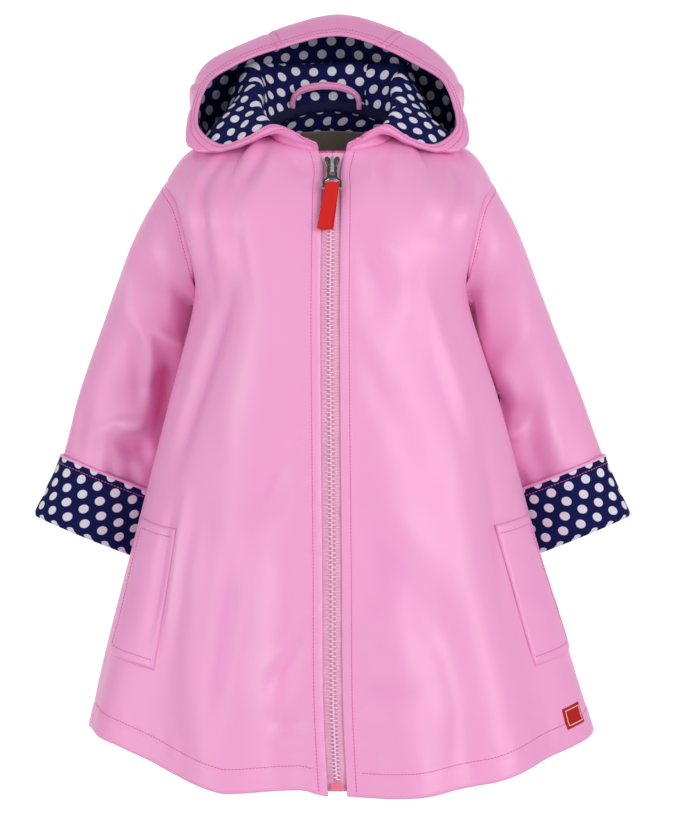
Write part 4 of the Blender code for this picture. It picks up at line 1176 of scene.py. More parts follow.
@lru_cache(None)
def front_cloth(side):
    """One front with its creases, the roll of its seams and what its stitching draws and presses in."""
    columns = np.arange(BODY_COLUMNS + 1) / BODY_COLUMNS
    rows = body_rows()
    cloth = Cloth(columns, rows, body_points(side, FRONT, columns, rows), side == LEFT)
    seams, stitched = cloth.from_edge("lt"), cloth.u - STITCH_FROM_ZIP
    from_hem = cloth.from_edge("b")
    hem = from_hem - HEM_STITCH
    height = creased(cloth.u, cloth.v, FRONT_CREASES[side])
    height += uneven(cloth.u, cloth.v, SEEDS["front"] + side, 0.08, 40, 110)
    height = height * smooth_step(0, 18, seams) * smooth_step(0, 26, cloth.u)
    low = smooth_step(140, 330, cloth.v)
    height += pucker(cloth.v, stitched, reach=7, height=0.12 + 0.30 * low, pitch=17, seed=side)
    height += pucker(cloth.u, hem, reach=8, height=0.22, pitch=15, seed=2 + side) * smooth_step(0, 20, seams)
    height += FOLDED_EDGE * smooth_step(STITCH_FROM_ZIP, STITCH_FROM_ZIP - 2, cloth.u) + dent(stitched)
    height += FOLDED_HEM * smooth_step(HEM_STITCH, HEM_STITCH - 2, from_hem) + dent(hem)
    return cloth.lifted(height + rolled(seams))


@lru_cache(None)
def back_cloth():
    """The back in one piece. Its columns run from -1 at the wearer's right side seam to 1 at the left."""
    half = np.arange(BODY_COLUMNS + 1) / BODY_COLUMNS
    rows = body_rows()
    right, left = (body_points(side, BACK, half, rows) for side in (RIGHT, LEFT))
    cloth = Cloth(np.concatenate([-half[:0:-1], half]), rows, np.concatenate([right[:, :0:-1], left], 1))
    u = cloth.u - cloth.u[:, [BODY_COLUMNS]]
    seams, from_hem = cloth.from_edge("flt"), cloth.from_edge("b")
    hem = from_hem - HEM_STITCH
    height = creased(u, cloth.v, BACK_CREASES) + uneven(u, cloth.v, SEEDS["back"], 0.08, 40, 110)
    height *= smooth_step(0, 18, seams)
    height += pucker(u, hem, reach=8, height=0.22, pitch=16) * smooth_step(0, 20, seams)
    height += FOLDED_HEM * smooth_step(HEM_STITCH, HEM_STITCH - 2, from_hem) + dent(hem)
    return cloth.lifted(height + rolled(seams))


def sleeve_grid(side):
    """A sleeve as it is cut. Its columns run from the underarm round the back, outer edge and front."""
    columns = np.arange(-HALF_SLEEVE, HALF_SLEEVE + 1) * 180 / HALF_SLEEVE
    rows = finer((SEAM_GAP, *SLEEVE_ROWS[1:]), SLEEVE_STEP)
    return Cloth(columns, rows, sleeve_points(side, columns % 360, rows), side == RIGHT, closed=True)


@lru_cache(None)
def sleeve_cloth(side):
    """A sleeve, tucked in beside the body. Its first row reaches in under the armhole's edge."""
    cloth = sleeve_grid(side)
    u = cloth.u - cloth.u[:, [HALF_SLEEVE]]
    seam = cloth.from_edge("fl")
    tucked = UNDERARM_TUCK * smooth_step(60, 10, seam) * np.exp(-(((cloth.v - TUCK_DOWN) / TUCK_REACH) ** 2))
    tucked *= smooth_step(0, 10, cloth.v)
    cloth.points[..., 0] -= side * tucked
    cloth.points[:, -1] = cloth.points[:, 0]
    free = smooth_step(0, 18, cloth.v) * smooth_step(0, 16, seam)
    free = free * smooth_step(CUFF_TOP + 12, CUFF_TOP + 1, cloth.rows)[:, None]
    height = creased(u, cloth.v, SLEEVE_CREASES[side])
    height += uneven(u, cloth.v, SEEDS["sleeve"] + side, 0.06, 30, 90)
    height *= free
    stitched = cloth.v - ARMHOLE_STITCH
    height += dent(stitched, 0.35) + pucker(u, stitched, 4, 0.1, 13) + rolled(seam, 0.7, 1.4)
    cloth = cloth.lifted(height + rolled(cloth.v, 0.55, 1.4))
    ahead = cloth.points[1] - cloth.points[0]
    allowance = SLEEVE_ALLOWANCE + UNDERARM_ALLOWANCE * smooth_step(95, 60, seam[0])
    cloth.points[0] -= (ahead / length_of(ahead) + 0.08 * cloth.out[0]) * allowance[:, None]
    return cloth


@lru_cache(None)
def cuff_cloth(side):
    """A turned-back cuff: down its outside, round the fold at its end and a little way up the inside."""
    outside = finer((CUFF_TOP, SLEEVE_END - 1.5), CUFF_STEP)
    turned = [SLEEVE_END - 0.6, SLEEVE_END, SLEEVE_END, SLEEVE_END - 0.6]
    down = np.concatenate([outside, turned, outside[:-20:-1]])
    bend = np.array([1.0, 0.75, -0.75, -1.0])
    raised = np.concatenate([np.full(len(outside), 1.0), bend, np.full(len(down) - len(outside) - 4, -1.0)])
    smooth = sleeve_grid(side)
    across, far = np.meshgrid(smooth.columns, down)
    points, out = (grid.reshape(*across.shape, 3) for grid in smooth.at(across.ravel(), far.ravel()))
    ahead = smooth.down_way[-1] / length_of(smooth.down_way[-1])
    tip = np.where(np.abs(raised) < 0.99, 1.2, 0.0)[:, None, None] * ahead[None]
    half = (CUFF_RAISE + SHELL + CUFF_THICK + 0.4) / 2
    points = points + out * (CUFF_RAISE - half + raised[:, None, None] * half) + tip
    points[:, -1] = points[:, 0]
    cloth = Cloth(smooth.columns, np.arange(len(down)), points, side == RIGHT, closed=True)
    free = (raised > 0.99)[:, None] * smooth_step(0, 8, cloth.from_edge("fl"))
    stitched = cloth.v - CUFF_STITCH
    fold = len(outside) * CUFF_STEP
    fade = smooth_step(fold + 2, fold - 8, cloth.v)
    height = dent(stitched, 0.35) + pucker(cloth.u, stitched, 5, 0.16, 11, side)
    height += uneven(cloth.u, cloth.v, SEEDS["cuff"] + side, 0.22, 14, 50) * fade
    return cloth.lifted(height * free)


HOOD_TURNS = finer((0, 0.15, 0.31, 0.5, HOOD_SEAM_TURN), HOOD_TURN_STEP)
CENTRE_TURNS = finer((HOOD_SEAM_TURN, 1), HOOD_TURN_STEP)
HALF_GAP = SEAM_GAP / 2 / HOOD_TURN_LENGTH
TROUGH = HOOD_KNOTS[3]
BELOW_SEAM = -0.004


def hood_rows(start=0.0, end=1.0):
    """Rows of the hood from the neck seam at 0 to the rim at 1."""
    return finer((start, 0.05, 0.14, 0.3, 0.6, 0.83, 0.95, end), HOOD_ROW_STEP)


def to_seam(points):
    """Hood points whose first row reaches down to the neck seam."""
    points[0, :, 2] -= NECK_SEAM_RISE + 0.6
    return points


def hood_grid(side, rows, first=0.0):
    """One panel of the hood as it is cut: a side from the turn first on, or the centre where side is 0."""
    if side:
        turns = HOOD_TURNS[HOOD_TURNS >= first]
        turns[-1] -= HALF_GAP
        return Cloth(turns, rows, to_seam(hood_points(side, turns, rows)), side == RIGHT)
    half = CENTRE_TURNS.copy()
    half[0] += HALF_GAP
    right, left = (hood_points(hand, half, rows) for hand in (RIGHT, LEFT))
    points = to_seam(np.concatenate([right[:, :-1], left[:, ::-1]], 1))
    return Cloth(np.concatenate([half - 1, 1 - half[-2::-1]]), rows, points, True)


@lru_cache(None)
def hood_cloth(side):
    """One panel of the hood's outer cloth. side is 0 for the centre."""
    cloth = hood_grid(side, hood_rows(start=BELOW_SEAM))
    rim, neck = cloth.from_edge("b"), cloth.from_edge("t")
    seams = cloth.from_edge("l" if side else "fl")
    calm = smooth_step(0, 14, seams) * smooth_step(0, 16, neck) * smooth_step(8, 24, rim)
    height = uneven(cloth.u, cloth.v, SEEDS["hood"] + side, 0.09, 24, 80)
    if side:
        height += creased(cloth.u, cloth.v, HOOD_CREASES)
    height = height * calm + rolled(seams, 0.7, 1.3) + rolled(neck, 0.5, 1.2)
    for line in RIM_STITCHES:
        height += dent(rim - line, 0.35, 0.8)
    height += pucker(cloth.u, rim - RIM_STITCHES[1], 6, 0.16, 15, side) * smooth_step(0, 10, seams)
    return cloth.lifted(height + dent(seams - HOOD_SEAM_STITCH, 0.3, 0.8))


def eased(points, share):
    """Points whose bends down the cloth are softened by a share for each row."""
    points = points.copy()
    for _ in range(14):
        points[1:-1] += (points[:-2] - 2 * points[1:-1] + points[2:]) / 4 * share[1:-1, None, None]
    return points


def kept_inside(cloth, outer, depth):
    """Moves a cloth's points in where they are less than a depth inside another cloth's face."""
    quads = quads_of(np.arange(outer.u.size).reshape(outer.u.shape))
    tree = BVHTree.FromPolygons([Vector(point) for point in outer.points.reshape(-1, 3)], quads.tolist())
    out = outer.out.reshape(-1, 3)
    free = np.nonzero((cloth.rows > FREE_ROWS[0]) & (cloth.rows < FREE_ROWS[1]))[0]
    for _ in range(4):
        moved = np.zeros_like(cloth.points)
        for row in free:
            for column in range(cloth.u.shape[1]):
                point = Vector(cloth.points[row, column])
                nearest, _, face, _ = tree.find_nearest(point)
                way = out[quads[face][0]]
                short = float(np.dot(np.array(point - nearest), way)) + depth
                if 0 < short < 3 * depth:
                    moved[row, column] = -short * way
        here, beside = moved[1:-1], moved[:-2] + moved[2:]
        soft = moved.copy()
        soft[1:-1] = np.maximum(np.abs(here), np.abs(beside) / 2) * np.sign(here + moved[:-2] + moved[2:])
        cloth.points += soft


@lru_cache(None)
def hood_lining(side):
    """The lining's outer face. What shows is its other side, a wall further in, where its creases stand."""
    cut = hood_grid(side, hood_rows(end=LINING_END), LINING_FIRST)
    points = eased(cut.points, smooth_step(0.5, 0.72, cut.rows))
    cloth = laid_flat(Cloth(cut.columns, cut.rows, points, cut.flip))
    seams, rim = cloth.from_edge("l" if side else "fl"), cloth.from_edge("b")
    calm = smooth_step(0, 12, seams) * smooth_step(2, 22, rim)
    in_trough = np.exp(-(((cloth.rows - TROUGH) / 0.09) ** 2))[:, None]
    calm = calm * (1 - in_trough * smooth_step(0.4, 0.6, np.minimum(cloth.columns % 2, -cloth.columns % 2)))
    height = uneven(cloth.u, cloth.v, SEEDS["lining"] + side, 0.3, 14, 60) + 0.9
    if side:
        height += creased(cloth.u, cloth.v, LINING_CREASES[side])
    cloth = cloth.lifted(-LINING_DEPTH).lifted(-np.maximum(height, 0) * calm * smooth_step(0, 8, cloth.v))
    kept_inside(cloth, hood_cloth(side), LINING_DEPTH)
    return cloth


def make_body():
    """The fronts and the back, stitched beside the zip and above the hem."""
    finishes = [coated_cloth(), dotted_lining()]
    lines = []
    for side, name in SIDES:
        cloth, node = front_cloth(side), "front_" + name
        piece = dress(node + "_cloth", cloth, SHELL, finishes, [node])
        lines.append((cloth, cloth.line_down(STITCH_FROM_ZIP, top=2, bottom=2)))
        lines.append((cloth, cloth.line_across(HEM_STITCH, left=STITCH_FROM_ZIP, right=1)))
    back = back_cloth()
    piece = dress("back_cloth", back, SHELL, finishes, ["back"])
    lines.append((back, back.line_across(HEM_STITCH, left=1, right=1)))
    stitches("body_stitches", lines, thread())


def make_sleeves():
    """The sleeves. Inside, the lining starts below the underarm, and above it both sides are outer cloth."""
    lines = []
    for side, name in SIDES:
        cloth, node = sleeve_cloth(side), "sleeve_" + name
        finishes = [coated_cloth(), dotted_lining()]
        piece = dress(node + "_cloth", cloth, SHELL, finishes, [node])
        for face in piece.data.polygons:
            if face.center.z > UNDERARM_FACED:
                face.material_index = 0
        lines.append((cloth, cloth.line_across(ARMHOLE_STITCH, last=False)))
    stitches("armhole_stitches", lines, thread())


def make_cuffs():
    """The turned-back cuffs, each with a narrow outer edge of coated cloth along its top."""
    lines = []
    for side, name in SIDES:
        cloth, node = cuff_cloth(side), "cuff_" + name
        piece = dress(node + "_cloth", cloth, CUFF_THICK, [dotted_lining()], [node])
        lines.append((cloth, cloth.line_across(CUFF_STITCH, last=False)))
        edge = cloth.patch(cloth.columns, (0, 0.55)).lifted(EDGING_RAISE)
        rim = Cloth(edge.columns, edge.rows, edge.points - edge.down_way * 0.8, edge.flip, closed=True)
        dress(node + "_edge", rim, EDGING_THICK, [coated_cloth()])
    stitches("cuff_stitches", lines, thread())


def make_hood():
    """The hood: two sides and a centre, each with its lining, and a lip that closes the rim."""
    lines = []
    # The hood's cloth is a deeper copy of the coat's cloth: painted shade
    hood_shaded_cloth = coated_cloth("Hood cloth", (0.95, 0.84, 0.93))
    for side, name in (*SIDES, (0, "centre")):
        cloth, node = hood_cloth(side), "hood_side_" + name if side else "hood_centre"
        lip = smooth_step(RIM_LIP, RIM_LIP - 1.6, cloth.from_edge("b"))
        wall = SHELL + (LINING + SEAM_GAP + 0.25) * lip
        if side:
            wall = SHELL + (wall - SHELL) * smooth_step(6, 26, cloth.u)
        piece = dress(node + "_cloth", cloth, wall, [hood_shaded_cloth], [node])
        lining, inner = hood_lining(side), "hood_lining_" + name
        piece = dress(inner + "_cloth", lining, LINING, [dotted_lining()], [inner])
        lines += [(cloth, cloth.line_across(inset)) for inset in RIM_STITCHES]
        if not side:
            lines += [(cloth, cloth.line_down(HOOD_SEAM_STITCH, last=last)) for last in (False, True)]
    stitches("hood_stitches", lines, thread())


# Neck. The seam's binding runs from a turn on one side round the back to the same turn on the other side. Its
# profile is how far it stands in from the seam and above it.

BINDING_TURN, BINDING_RISE = 0.30, 0.6
BINDING_PROFILE = ((1.6, 4.0), (3.2, 2.6), (4.0, 0.2), (3.6, -2.2), (2.0, -4.0))


def make_neck():
    """What shows inside the neck: the facing, its label, the binding and the hanger loop."""
    back = back_cloth()
    reach = FACING_HALF_TURN * NECK_SHARE
    facing = back.patch(np.linspace(-reach, reach, 60), np.linspace(0.6, FACING_DOWN, 16))
    facing = facing.lifted(-(SHELL + LAYER_GAP) + uneven(facing.u, facing.v, SEEDS["facing"], 0.1))
    dress("neck_facing_cloth", facing, LINING, [dotted_lining()], ["neck_facing"])
    middle = back.points[np.searchsorted(back.rows, LABEL_TOP_DOWN)]
    ends = np.interp((LABEL_CENTRE - LABEL_HALF, LABEL_CENTRE + LABEL_HALF), middle[:, 0], back.columns)
    label = back.patch(np.linspace(*ends, 40), np.linspace(LABEL_TOP_DOWN, LABEL_BOTTOM_DOWN, 20))
    label = label.lifted(-(SHELL + LINING + 2 * LAYER_GAP) + uneven(label.u, label.v, SEEDS["label"], 0.08))
    tan = woven("Neck label", colour_of("neck_label"), 0.35)
    dress("neck_label_cloth", label, LABEL_THICK, [tan], ["neck_label"])
    inside = Cloth(label.columns, label.rows, label.points - label.out * LABEL_THICK, not label.flip)
    lines = [(inside, inside.line_down(LABEL_STITCH, last=last)) for last in (False, True)]
    lines.append((inside, inside.line_across(LABEL_STITCH, last=False)))
    stitches("neck_label_stitches", lines, thread("Label thread", 0.55))
    make_seam_tape()
    make_hanger_loop()


def make_seam_tape():
    """The binding that covers the neck seam inside, round the back from one side to the other."""
    turns = np.linspace(BINDING_TURN, 1.0, 70)
    line = np.concatenate([neck_curve(RIGHT, turns)[:-1], neck_curve(LEFT, turns)[::-1]])
    line[:, 2] += BINDING_RISE
    up = np.array([0, 0, 1.0])
    aside = np.cross(up, np.gradient(line, axis=0))
    aside /= length_of(aside)
    points = np.stack([line - aside * far + up * rise for far, rise in BINDING_PROFILE], 0)
    tape = Cloth(np.arange(len(line)), np.arange(len(points)), points)
    navy = woven("Seam binding", colour_of("lining"), 0.5)
    dress("neck_seam_tape", tape, TAPE_THICK, [navy])


def make_hanger_loop():
    """An arch of folded binding behind the neck, stitched along both edges."""
    angles = np.linspace(0, math.pi, 60)
    foot = neck_curve(LEFT, 1.0) + (LOOP_CENTRE, -LOOP_AHEAD, 0.5)
    cosine, sine = np.cos(angles), np.sin(angles)
    arch = foot + xyz(LOOP_HALF * cosine, -3 * sine, LOOP_HEIGHT * sine**0.8)
    inward = xyz(-cosine * 0.75, 0, -sine) * LOOP_WIDTH
    shares = np.linspace(0, 1, 9)
    strip = np.stack([arch + inward * share for share in shares])
    strip[:, [0, -1], 2] -= 3
    loop = Cloth(np.arange(len(angles)) / (len(angles) - 1), shares, strip)
    height = 0.45 * np.sin(math.pi * shares)[:, None] + pucker(loop.u, loop.v - LOOP_WIDTH / 2, 3, 0.1, 6)
    for line in (LOOP_STITCH, LOOP_WIDTH - LOOP_STITCH):
        height = height + dent(loop.v - line, 0.25, 0.5)
    loop = loop.lifted(height)
    binding = coated_cloth("Binding", (0.88, 0.80, 0.86))
    dress("hanger_loop_binding", loop, LOOP_THICK, [binding], ["hanger_loop"])
    rows = [(loop, (loop.columns[1:-1], np.full(len(angles) - 2, share))) for share in (0.2, 0.8)]
    stitches("hanger_loop_stitches", rows, thread())


# Trim on the fronts


def make_pockets():
    """A welt on each front, stitched down round three of its sides."""
    lines = []
    for side, name in SIDES:
        patch, node = WELTS[side], "pocket_welt_" + name
        columns = np.linspace(patch.across_in, patch.across_out, 26)
        rows = np.linspace(patch.top, patch.bottom, 60)
        welt = front_cloth(side).patch(columns, rows, (patch.drift_in, patch.drift_out))
        edge = rolled(welt.from_edge("fltb"), 0.9, 1.0)
        welt = welt.lifted(WELT_RAISE + uneven(welt.u, welt.v, SEEDS["welt"] + side, 0.12) + edge)
        welt = welt.lifted(dent(welt.from_edge("ltb") - WELT_STITCH, 0.35, 0.8))
        # The welts take a slightly deeper copy of the coat's cloth: painted shade
        cloth = coated_cloth("Welt cloth", (1.0, 0.94, 1.0))
        dress(node + "_cloth", welt, WELT_THICK, [cloth], [node])
        lines.append((welt, welt.line_down(WELT_STITCH, last=True, top=WELT_STITCH, bottom=WELT_STITCH)))
        for last in (False, True):
            lines.append((welt, welt.line_across(WELT_STITCH, last=last, left=1, right=WELT_STITCH)))
    stitches("pocket_stitches", lines, thread())


LABEL_FRAME = (0.8, 0.72, 0.7, 1)


def label_red(wide, high):
    """A plain woven label: a red field with a thin pale frame line."""
    finish = Finish("Hem label", colour_of("label"), 0.7, specular_ior_level=0.25)
    across, down = finish.lengths()
    edge = across.least(wide - across).least(down.least(high - down))
    frame_line = edge.between(1.5, 1.7) * edge.between(2.3, 2.1)
    threads = weave(finish, 0.4)
    # Painted shade: the label is darker where its threads lie low
    colour = finish.mix(threads.between(-1, 1), tone(finish.colour, 0.8), finish.colour)
    finish.set(base_color=finish.mix(frame_line, colour, LABEL_FRAME))
    finish.bump(threads + frame_line * 2, 0.00008, 0.8)
    return finish.material


def make_hem_label():
    """The label on the wearer's left front, above the hem."""
    columns = np.linspace(HEM_LABEL.across_in, HEM_LABEL.across_out, 24)
    label = front_cloth(LEFT).patch(columns, np.linspace(HEM_LABEL.top, HEM_LABEL.bottom, 20))
    red = label_red(label.u[:, -1].mean(), label.v[-1].mean())
    edge = rolled(label.from_edge("fltb"), 0.4, 0.8)
    label = label.lifted(HEM_LABEL_RAISE + 0.15 * np.sin(label.u * 0.5) + edge)
    dress("hem_label_cloth", label, HEM_LABEL_THICK, [red], ["hem_label"])


# Zip


def zip_rail(down):
    """The zip's line with its ways up and out at each point."""
    line = zip_line(down)
    up = -np.gradient(line, axis=0)
    up[:, 0] = 0
    up /= length_of(up)
    return line, up, np.cross((1.0, 0, 0), up)


def make_zip():
    """The tapes with their cords and bound ends, the teeth and the box."""
    woven_tape = woven("Zip tape", colour_of("tape"), 0.5, 0.75, ribs=1.1)
    bound = woven("Zip tape end", tone(colour_of("thread"), 1.1)[:3], 0.4)
    downs, columns = finer((0.2, ZIP_END), 3.0), np.linspace(0, 1, 16)
    line = zip_line(downs)
    depth = SHELL + LAYER_GAP - SEAM_GAP
    for side, name in SIDES:
        offsets = side * np.linspace(TAPE_SPLIT, TAPE_HALF, len(columns))
        flare = 1 + 0.06 * smooth_step(8, 0, downs)
        points = line[:, None] + xyz(flare[:, None] * offsets[None], 0, 0)
        tape, node = Cloth(columns, downs, points, side == LEFT), "zip_tape_" + name
        cord = 0.55 * np.exp(-(((tape.u - 2.6) / 0.9) ** 2))
        tape = tape.lifted(cord - depth + 0.1 * np.sin(tape.v * 0.13))
        dress(node + "_cloth", tape, TAPE_THICK, [woven_tape], [node])
        end = tape.patch(np.linspace(0, 1, 12), (0.2, 1.0, 1.7)).lifted(0.25)
        dress(node + "_end", end, 0.5, [bound])
    make_teeth()
    make_box()


def make_teeth():
    """Two rows of moulded teeth that meet in the middle, each a foot on its tape and a head."""
    plastic = moulded("Zip teeth", colour_of("teeth"), 0.35)
    line, _, out = zip_rail(np.arange(SLIDER_DOWN + 1, ZIP_END - BOX_HEIGHT - 1, size_of("tooth_pitch") / 2))
    sides = np.where(np.arange(len(line)) % 2, 1.0, -1.0)[:, None]
    across = np.tile((1.0, 0, 0), (len(line), 1)) * sides
    parts = [
        beads(name, line + across * aside + out * 0.35, across, out, size, (3, 8, square))
        for name, aside, size, square in (
            ("teeth_feet", 1.75, (1.15, 0.56, 0.85), 0.45),
            ("teeth_heads", 0.25, (0.95, 0.8, 0.8), 0.5),
        )
    ]
    add_piece("zip_teeth", joined_mesh("zip_teeth", parts), [plastic], ["zip_chain"])


def make_box():
    """The moulded stop at the zip's end: its body, the pin down its middle and its lower rim."""
    line, up, out = zip_rail(np.array([ZIP_END - BOX_HEIGHT, ZIP_END - BOX_HEIGHT / 2, ZIP_END]))
    red = moulded("Zip box", colour_of("box"), 0.3)
    middle, end, across = [1], [2], np.array([[1.0, 0, 0]])
    body, pin, rim = line + out * 0.6, line + out * 1.6, line + up * 0.9 + out * 0.8
    box = [
        beads("box_body", body[middle], up[middle], out[middle], (3.2, BOX_HALF, 1.7), (9, 24, 0.3)),
        beads("box_pin", pin[middle], up[middle], out[middle], (2.9, 1.0, 1.0), (7, 16, 0.4)),
        beads("box_rim", rim[end], across, out[end], (BOX_HALF, 0.8, 1.75), (7, 16, 0.35)),
    ]
    add_piece("zip_box_plastic", joined_mesh("zip_box_plastic", box), [red], ["zip_box"])


def joined_mesh(name, meshes):
    """Several meshes as one."""
    bm = bmesh.new()
    for mesh in meshes:
        bm.from_mesh(mesh)
        bpy.data.meshes.remove(mesh)
    joined = bpy.data.meshes.new(name)
    bm.to_mesh(joined)
    bm.free()
    joined.shade_smooth()
    return joined


def plate_mesh(name, outline, thickness, bevel, placing, holes=(), segments=3):
    """A plate with rounded edges from outlines in its own plane, put in place by a matrix."""
    curve = bpy.data.curves.new(name, "CURVE")
    curve.dimensions, curve.fill_mode = "2D", "BOTH"
    curve.extrude, curve.bevel_depth = (thickness / 2 - bevel) * MM, bevel * MM
    curve.bevel_resolution = segments
    for points in (outline, *holes):
        spline = curve.splines.new("POLY")
        spline.points.add(len(points) - 1)
        for point, (x, y) in zip(spline.points, points):
            point.co = (x * MM, y * MM, 0, 1)
        spline.use_cyclic_u = True
    holder = bpy.data.objects.new(name, curve)
    mesh = bpy.data.meshes.new_from_object(holder)
    bpy.data.objects.remove(holder)
    bpy.data.curves.remove(curve)
    mesh.transform(placing)
    bm = bmesh.new()
    bm.from_mesh(mesh)
    bmesh.ops.remove_doubles(bm, verts=bm.verts, dist=1e-6)
    bm.to_mesh(mesh)
    bm.free()
    return mesh


def softened(points, radius, steps=5):
    """An outline with its corners rounded."""
    points = np.asarray(points, float)
    before, after = np.roll(points, 1, 0), np.roll(points, -1, 0)
    rounded = []
    for last, corner, ahead in zip(before, points, after):
        reach = min(radius, np.linalg.norm(last - corner) / 2.1, np.linalg.norm(ahead - corner) / 2.1)
        start = corner + (last - corner) / np.linalg.norm(last - corner) * reach
        end = corner + (ahead - corner) / np.linalg.norm(ahead - corner) * reach
        for share in np.linspace(0, 1, steps):
            arc = (1 - share) ** 2 * start + 2 * share * (1 - share) * corner + share**2 * end
            rounded.append(tuple(arc))
    return rounded


def bright_edges(mesh, face_way):
    """Gives a plate's flat faces the first material and its edges the second, which carries the painted
    highlight.
    """
    for face in mesh.polygons:
        face.material_index = int(abs(face.normal.dot(face_way)) < 0.9)
    return mesh


def on_zip(down, height, on_edge=False):
    """The placing of a plate on the zip: its face outwards, or on edge with its Y outwards."""
    here, across, up, out = zip_frame(down)
    matrix = Matrix.Identity(4)
    for column, axis in enumerate((up, out, across) if on_edge else (across, up, out)):
        for row in range(3):
            matrix[row][column] = axis[row]
    matrix.translation = Vector((here + out * height) * MM)
    return matrix


def zip_metals():
    """Painted reflection on the metal: a dark copy for flat faces and a much lighter copy, a painted
    highlight, for the edges.
    """
    return [plated_metal(), plated_metal("Rubbed metal", 3.2)]


def make_slider():
    """The slider: its face with a lower crown on it, and a rail along each side."""
    half, top, waist = SLIDER_HALF, SLIDER_LENGTH / 2, SLIDER_WAIST
    outline = slider_outline()
    middle = SLIDER_DOWN + SLIDER_LENGTH / 2 - SLIDER_RISE
    thick = SLIDER_FACE - SLIDER_BACK
    face, crown = softened(outline, 1.4), softened([(x * 0.7, y * 0.84 - 0.2) for x, y in outline], 1.2)
    meshes = [
        plate_mesh("face", face, thick - 0.5, 0.5, on_zip(middle, SLIDER_BACK + thick / 2 - 0.2)),
        plate_mesh("crown", crown, 0.8, 0.35, on_zip(middle, SLIDER_FACE - 0.25)),
    ]
    for side in (-1, 1):
        ends = ((half - 1.1, half - 0.1, top - 3), (waist - 0.1, waist - 1.2, 1.2 - top))
        rail = [(x, y) for *pair, y in ends for x in pair]
        rail = softened([(side * x, y) for x, y in rail[::side]], 0.5)
        meshes.append(plate_mesh("rail", rail, 1.0, 0.35, on_zip(middle, SLIDER_BACK - 0.1)))
    slider = bright_edges(joined_mesh("zip_slider_metal", meshes), Vector(zip_frame(middle)[3]))
    add_piece("zip_slider_metal", slider, zip_metals(), ["zip_slider"])
    make_bridge()


def make_bridge():
    """The arch on the slider that holds the pull."""
    length, rise, bar = BRIDGE_END_DOWN - BRIDGE_TOP_DOWN, BRIDGE_RISE, BRIDGE_BAR
    top = rise + bar
    arch = [(0, -0.8), (0, top - 0.8), (0.8, top), (length - 1.6, top), (length, top - 1.2)]
    arch += [(length, -0.8), (length - bar, -0.8), (length - bar, rise - 0.6), (length - 1.9, rise)]
    arch += [(bar + 0.4, rise), (bar, rise - 0.4), (bar, -0.8)]
    arch = softened([(-x, y) for x, y in arch], 0.7, 4)
    placing = on_zip(BRIDGE_TOP_DOWN, SLIDER_FACE + 2 * SEAM_GAP, on_edge=True)
    bridge = plate_mesh("slider_bridge_metal", arch, 2 * BRIDGE_HALF, 0.3, placing)
    bridge.shade_smooth()
    add_piece("slider_bridge_metal", bridge, zip_metals()[1:], ["slider_bridge"])


def make_pull():
    """The ring on the bridge, with its hole and its slot, and the ribbon."""
    outer, *holes = [softened(outline, 0.8) for outline in ring_outlines()]
    ring = plate_mesh("pull_ring_metal", outer, RING_BAR, 0.5, on_zip(PULL_DOWN, PULL_HEIGHT), holes, 4)
    bright_edges(ring, Vector(zip_frame(PULL_DOWN)[3])).shade_smooth()
    add_piece("pull_ring_metal", ring, zip_metals(), ["pull_ring"], "zip_pull")
    make_ribbon()


def make_ribbon():
    """The ribbon, folded round the ring's end bar with both of its ends hanging."""
    here, across, up, out = zip_frame(PULL_DOWN)
    foot = here + out * PULL_HEIGHT - up * (RING_LENGTH - RING_BAR / 2)
    up = np.array(RIBBON_UP)
    out = np.cross(across, up)
    radius = RING_BAR / 2 + RING_CLEARANCE
    low = finer((-RIBBON_LENGTH, -5), 1.2)
    path = [(-radius + 0.25 + 0.5 * math.sin(rise * 0.12), rise) for rise in low]
    path += [(-radius * math.cos(a), radius * math.sin(a)) for a in np.linspace(0, math.pi, 13)]
    path += [(radius - 0.25 + 0.35 * math.sin(rise * 0.12), rise) for rise in low[::-1]]
    shares = np.linspace(-1, 1, 15)
    strip = []
    for height, rise in path:
        slant = RIBBON_SLANT + 0.05 * (height < 0)
        middle = foot + across * -slant * rise + up * rise + out * height
        strip.append(middle + across * (shares * RIBBON_HALF)[:, None])
    red = woven("Pull ribbon", colour_of("ribbon"), 0.5, 0.5, ribs=0.7)
    ribbon = Cloth(shares, np.arange(len(path)), np.array(strip), flip=True)
    ply = ribbon.lifted(RIBBON_PLY - 0.1 + dent(ribbon.from_edge("fl"), 0.2, 0.6))
    dress("pull_ribbon_cloth", ply, RIBBON_PLY - 0.15, [red], ["pull_ribbon"], "zip_pull")


# Stage, in metres

CAMERA_AWAY = 2.8
PICTURE_CENTRE = (0.005, -0.212)
PICTURE_HIGH, PIXEL = 817, 0.00075
SENSOR_HIGH = 24.0
FLOOR_HALF, FLOOR_FRONT, FLOOR_BEND, FLOOR_TOP = 5.0, -3.2, 2.0, 4.5
FLOOR_Z = -0.66
Lamp = namedtuple("Lamp", "name place aim power size")
LAMPS = table(
    Lamp,
    ("Key", (2.1, -2.3, 0.5), (0, 0, -0.22), 38, 1.4),
    ("Fill", (-2.4, -2.0, 0.0), (0, 0, -0.22), 32, 2.0),
    ("Backdrop", (0.0, 0.9, 1.7), (0, 3, 1.0), 60, 2.0),
)


def make_floor():
    """A pale floor that bends up into a backdrop."""
    pale = Finish("Pale floor", (0.86, 0.86, 0.87), 0.9)
    pale.set(roughness=0.85 + pale.noise(3.0) * 0.1)
    bend = [(FLOOR_BEND + math.sin(a), 1 - math.cos(a)) for a in np.linspace(0.1, math.pi / 2, 12)]
    profile = [(FLOOR_FRONT, 0.0), (FLOOR_BEND, 0.0), *bend, (FLOOR_BEND + 1, FLOOR_TOP)]
    points = np.array([[(x, y, z + FLOOR_Z) for x in (-FLOOR_HALF, FLOOR_HALF)] for y, z in profile]) / MM
    quads = quads_of(np.arange(2 * len(profile)).reshape(-1, 2))
    mesh = mesh_from("studio_floor", points.reshape(-1, 3), quads)
    mesh.materials.append(pale.material)
    floor = in_scene("studio_floor", mesh)


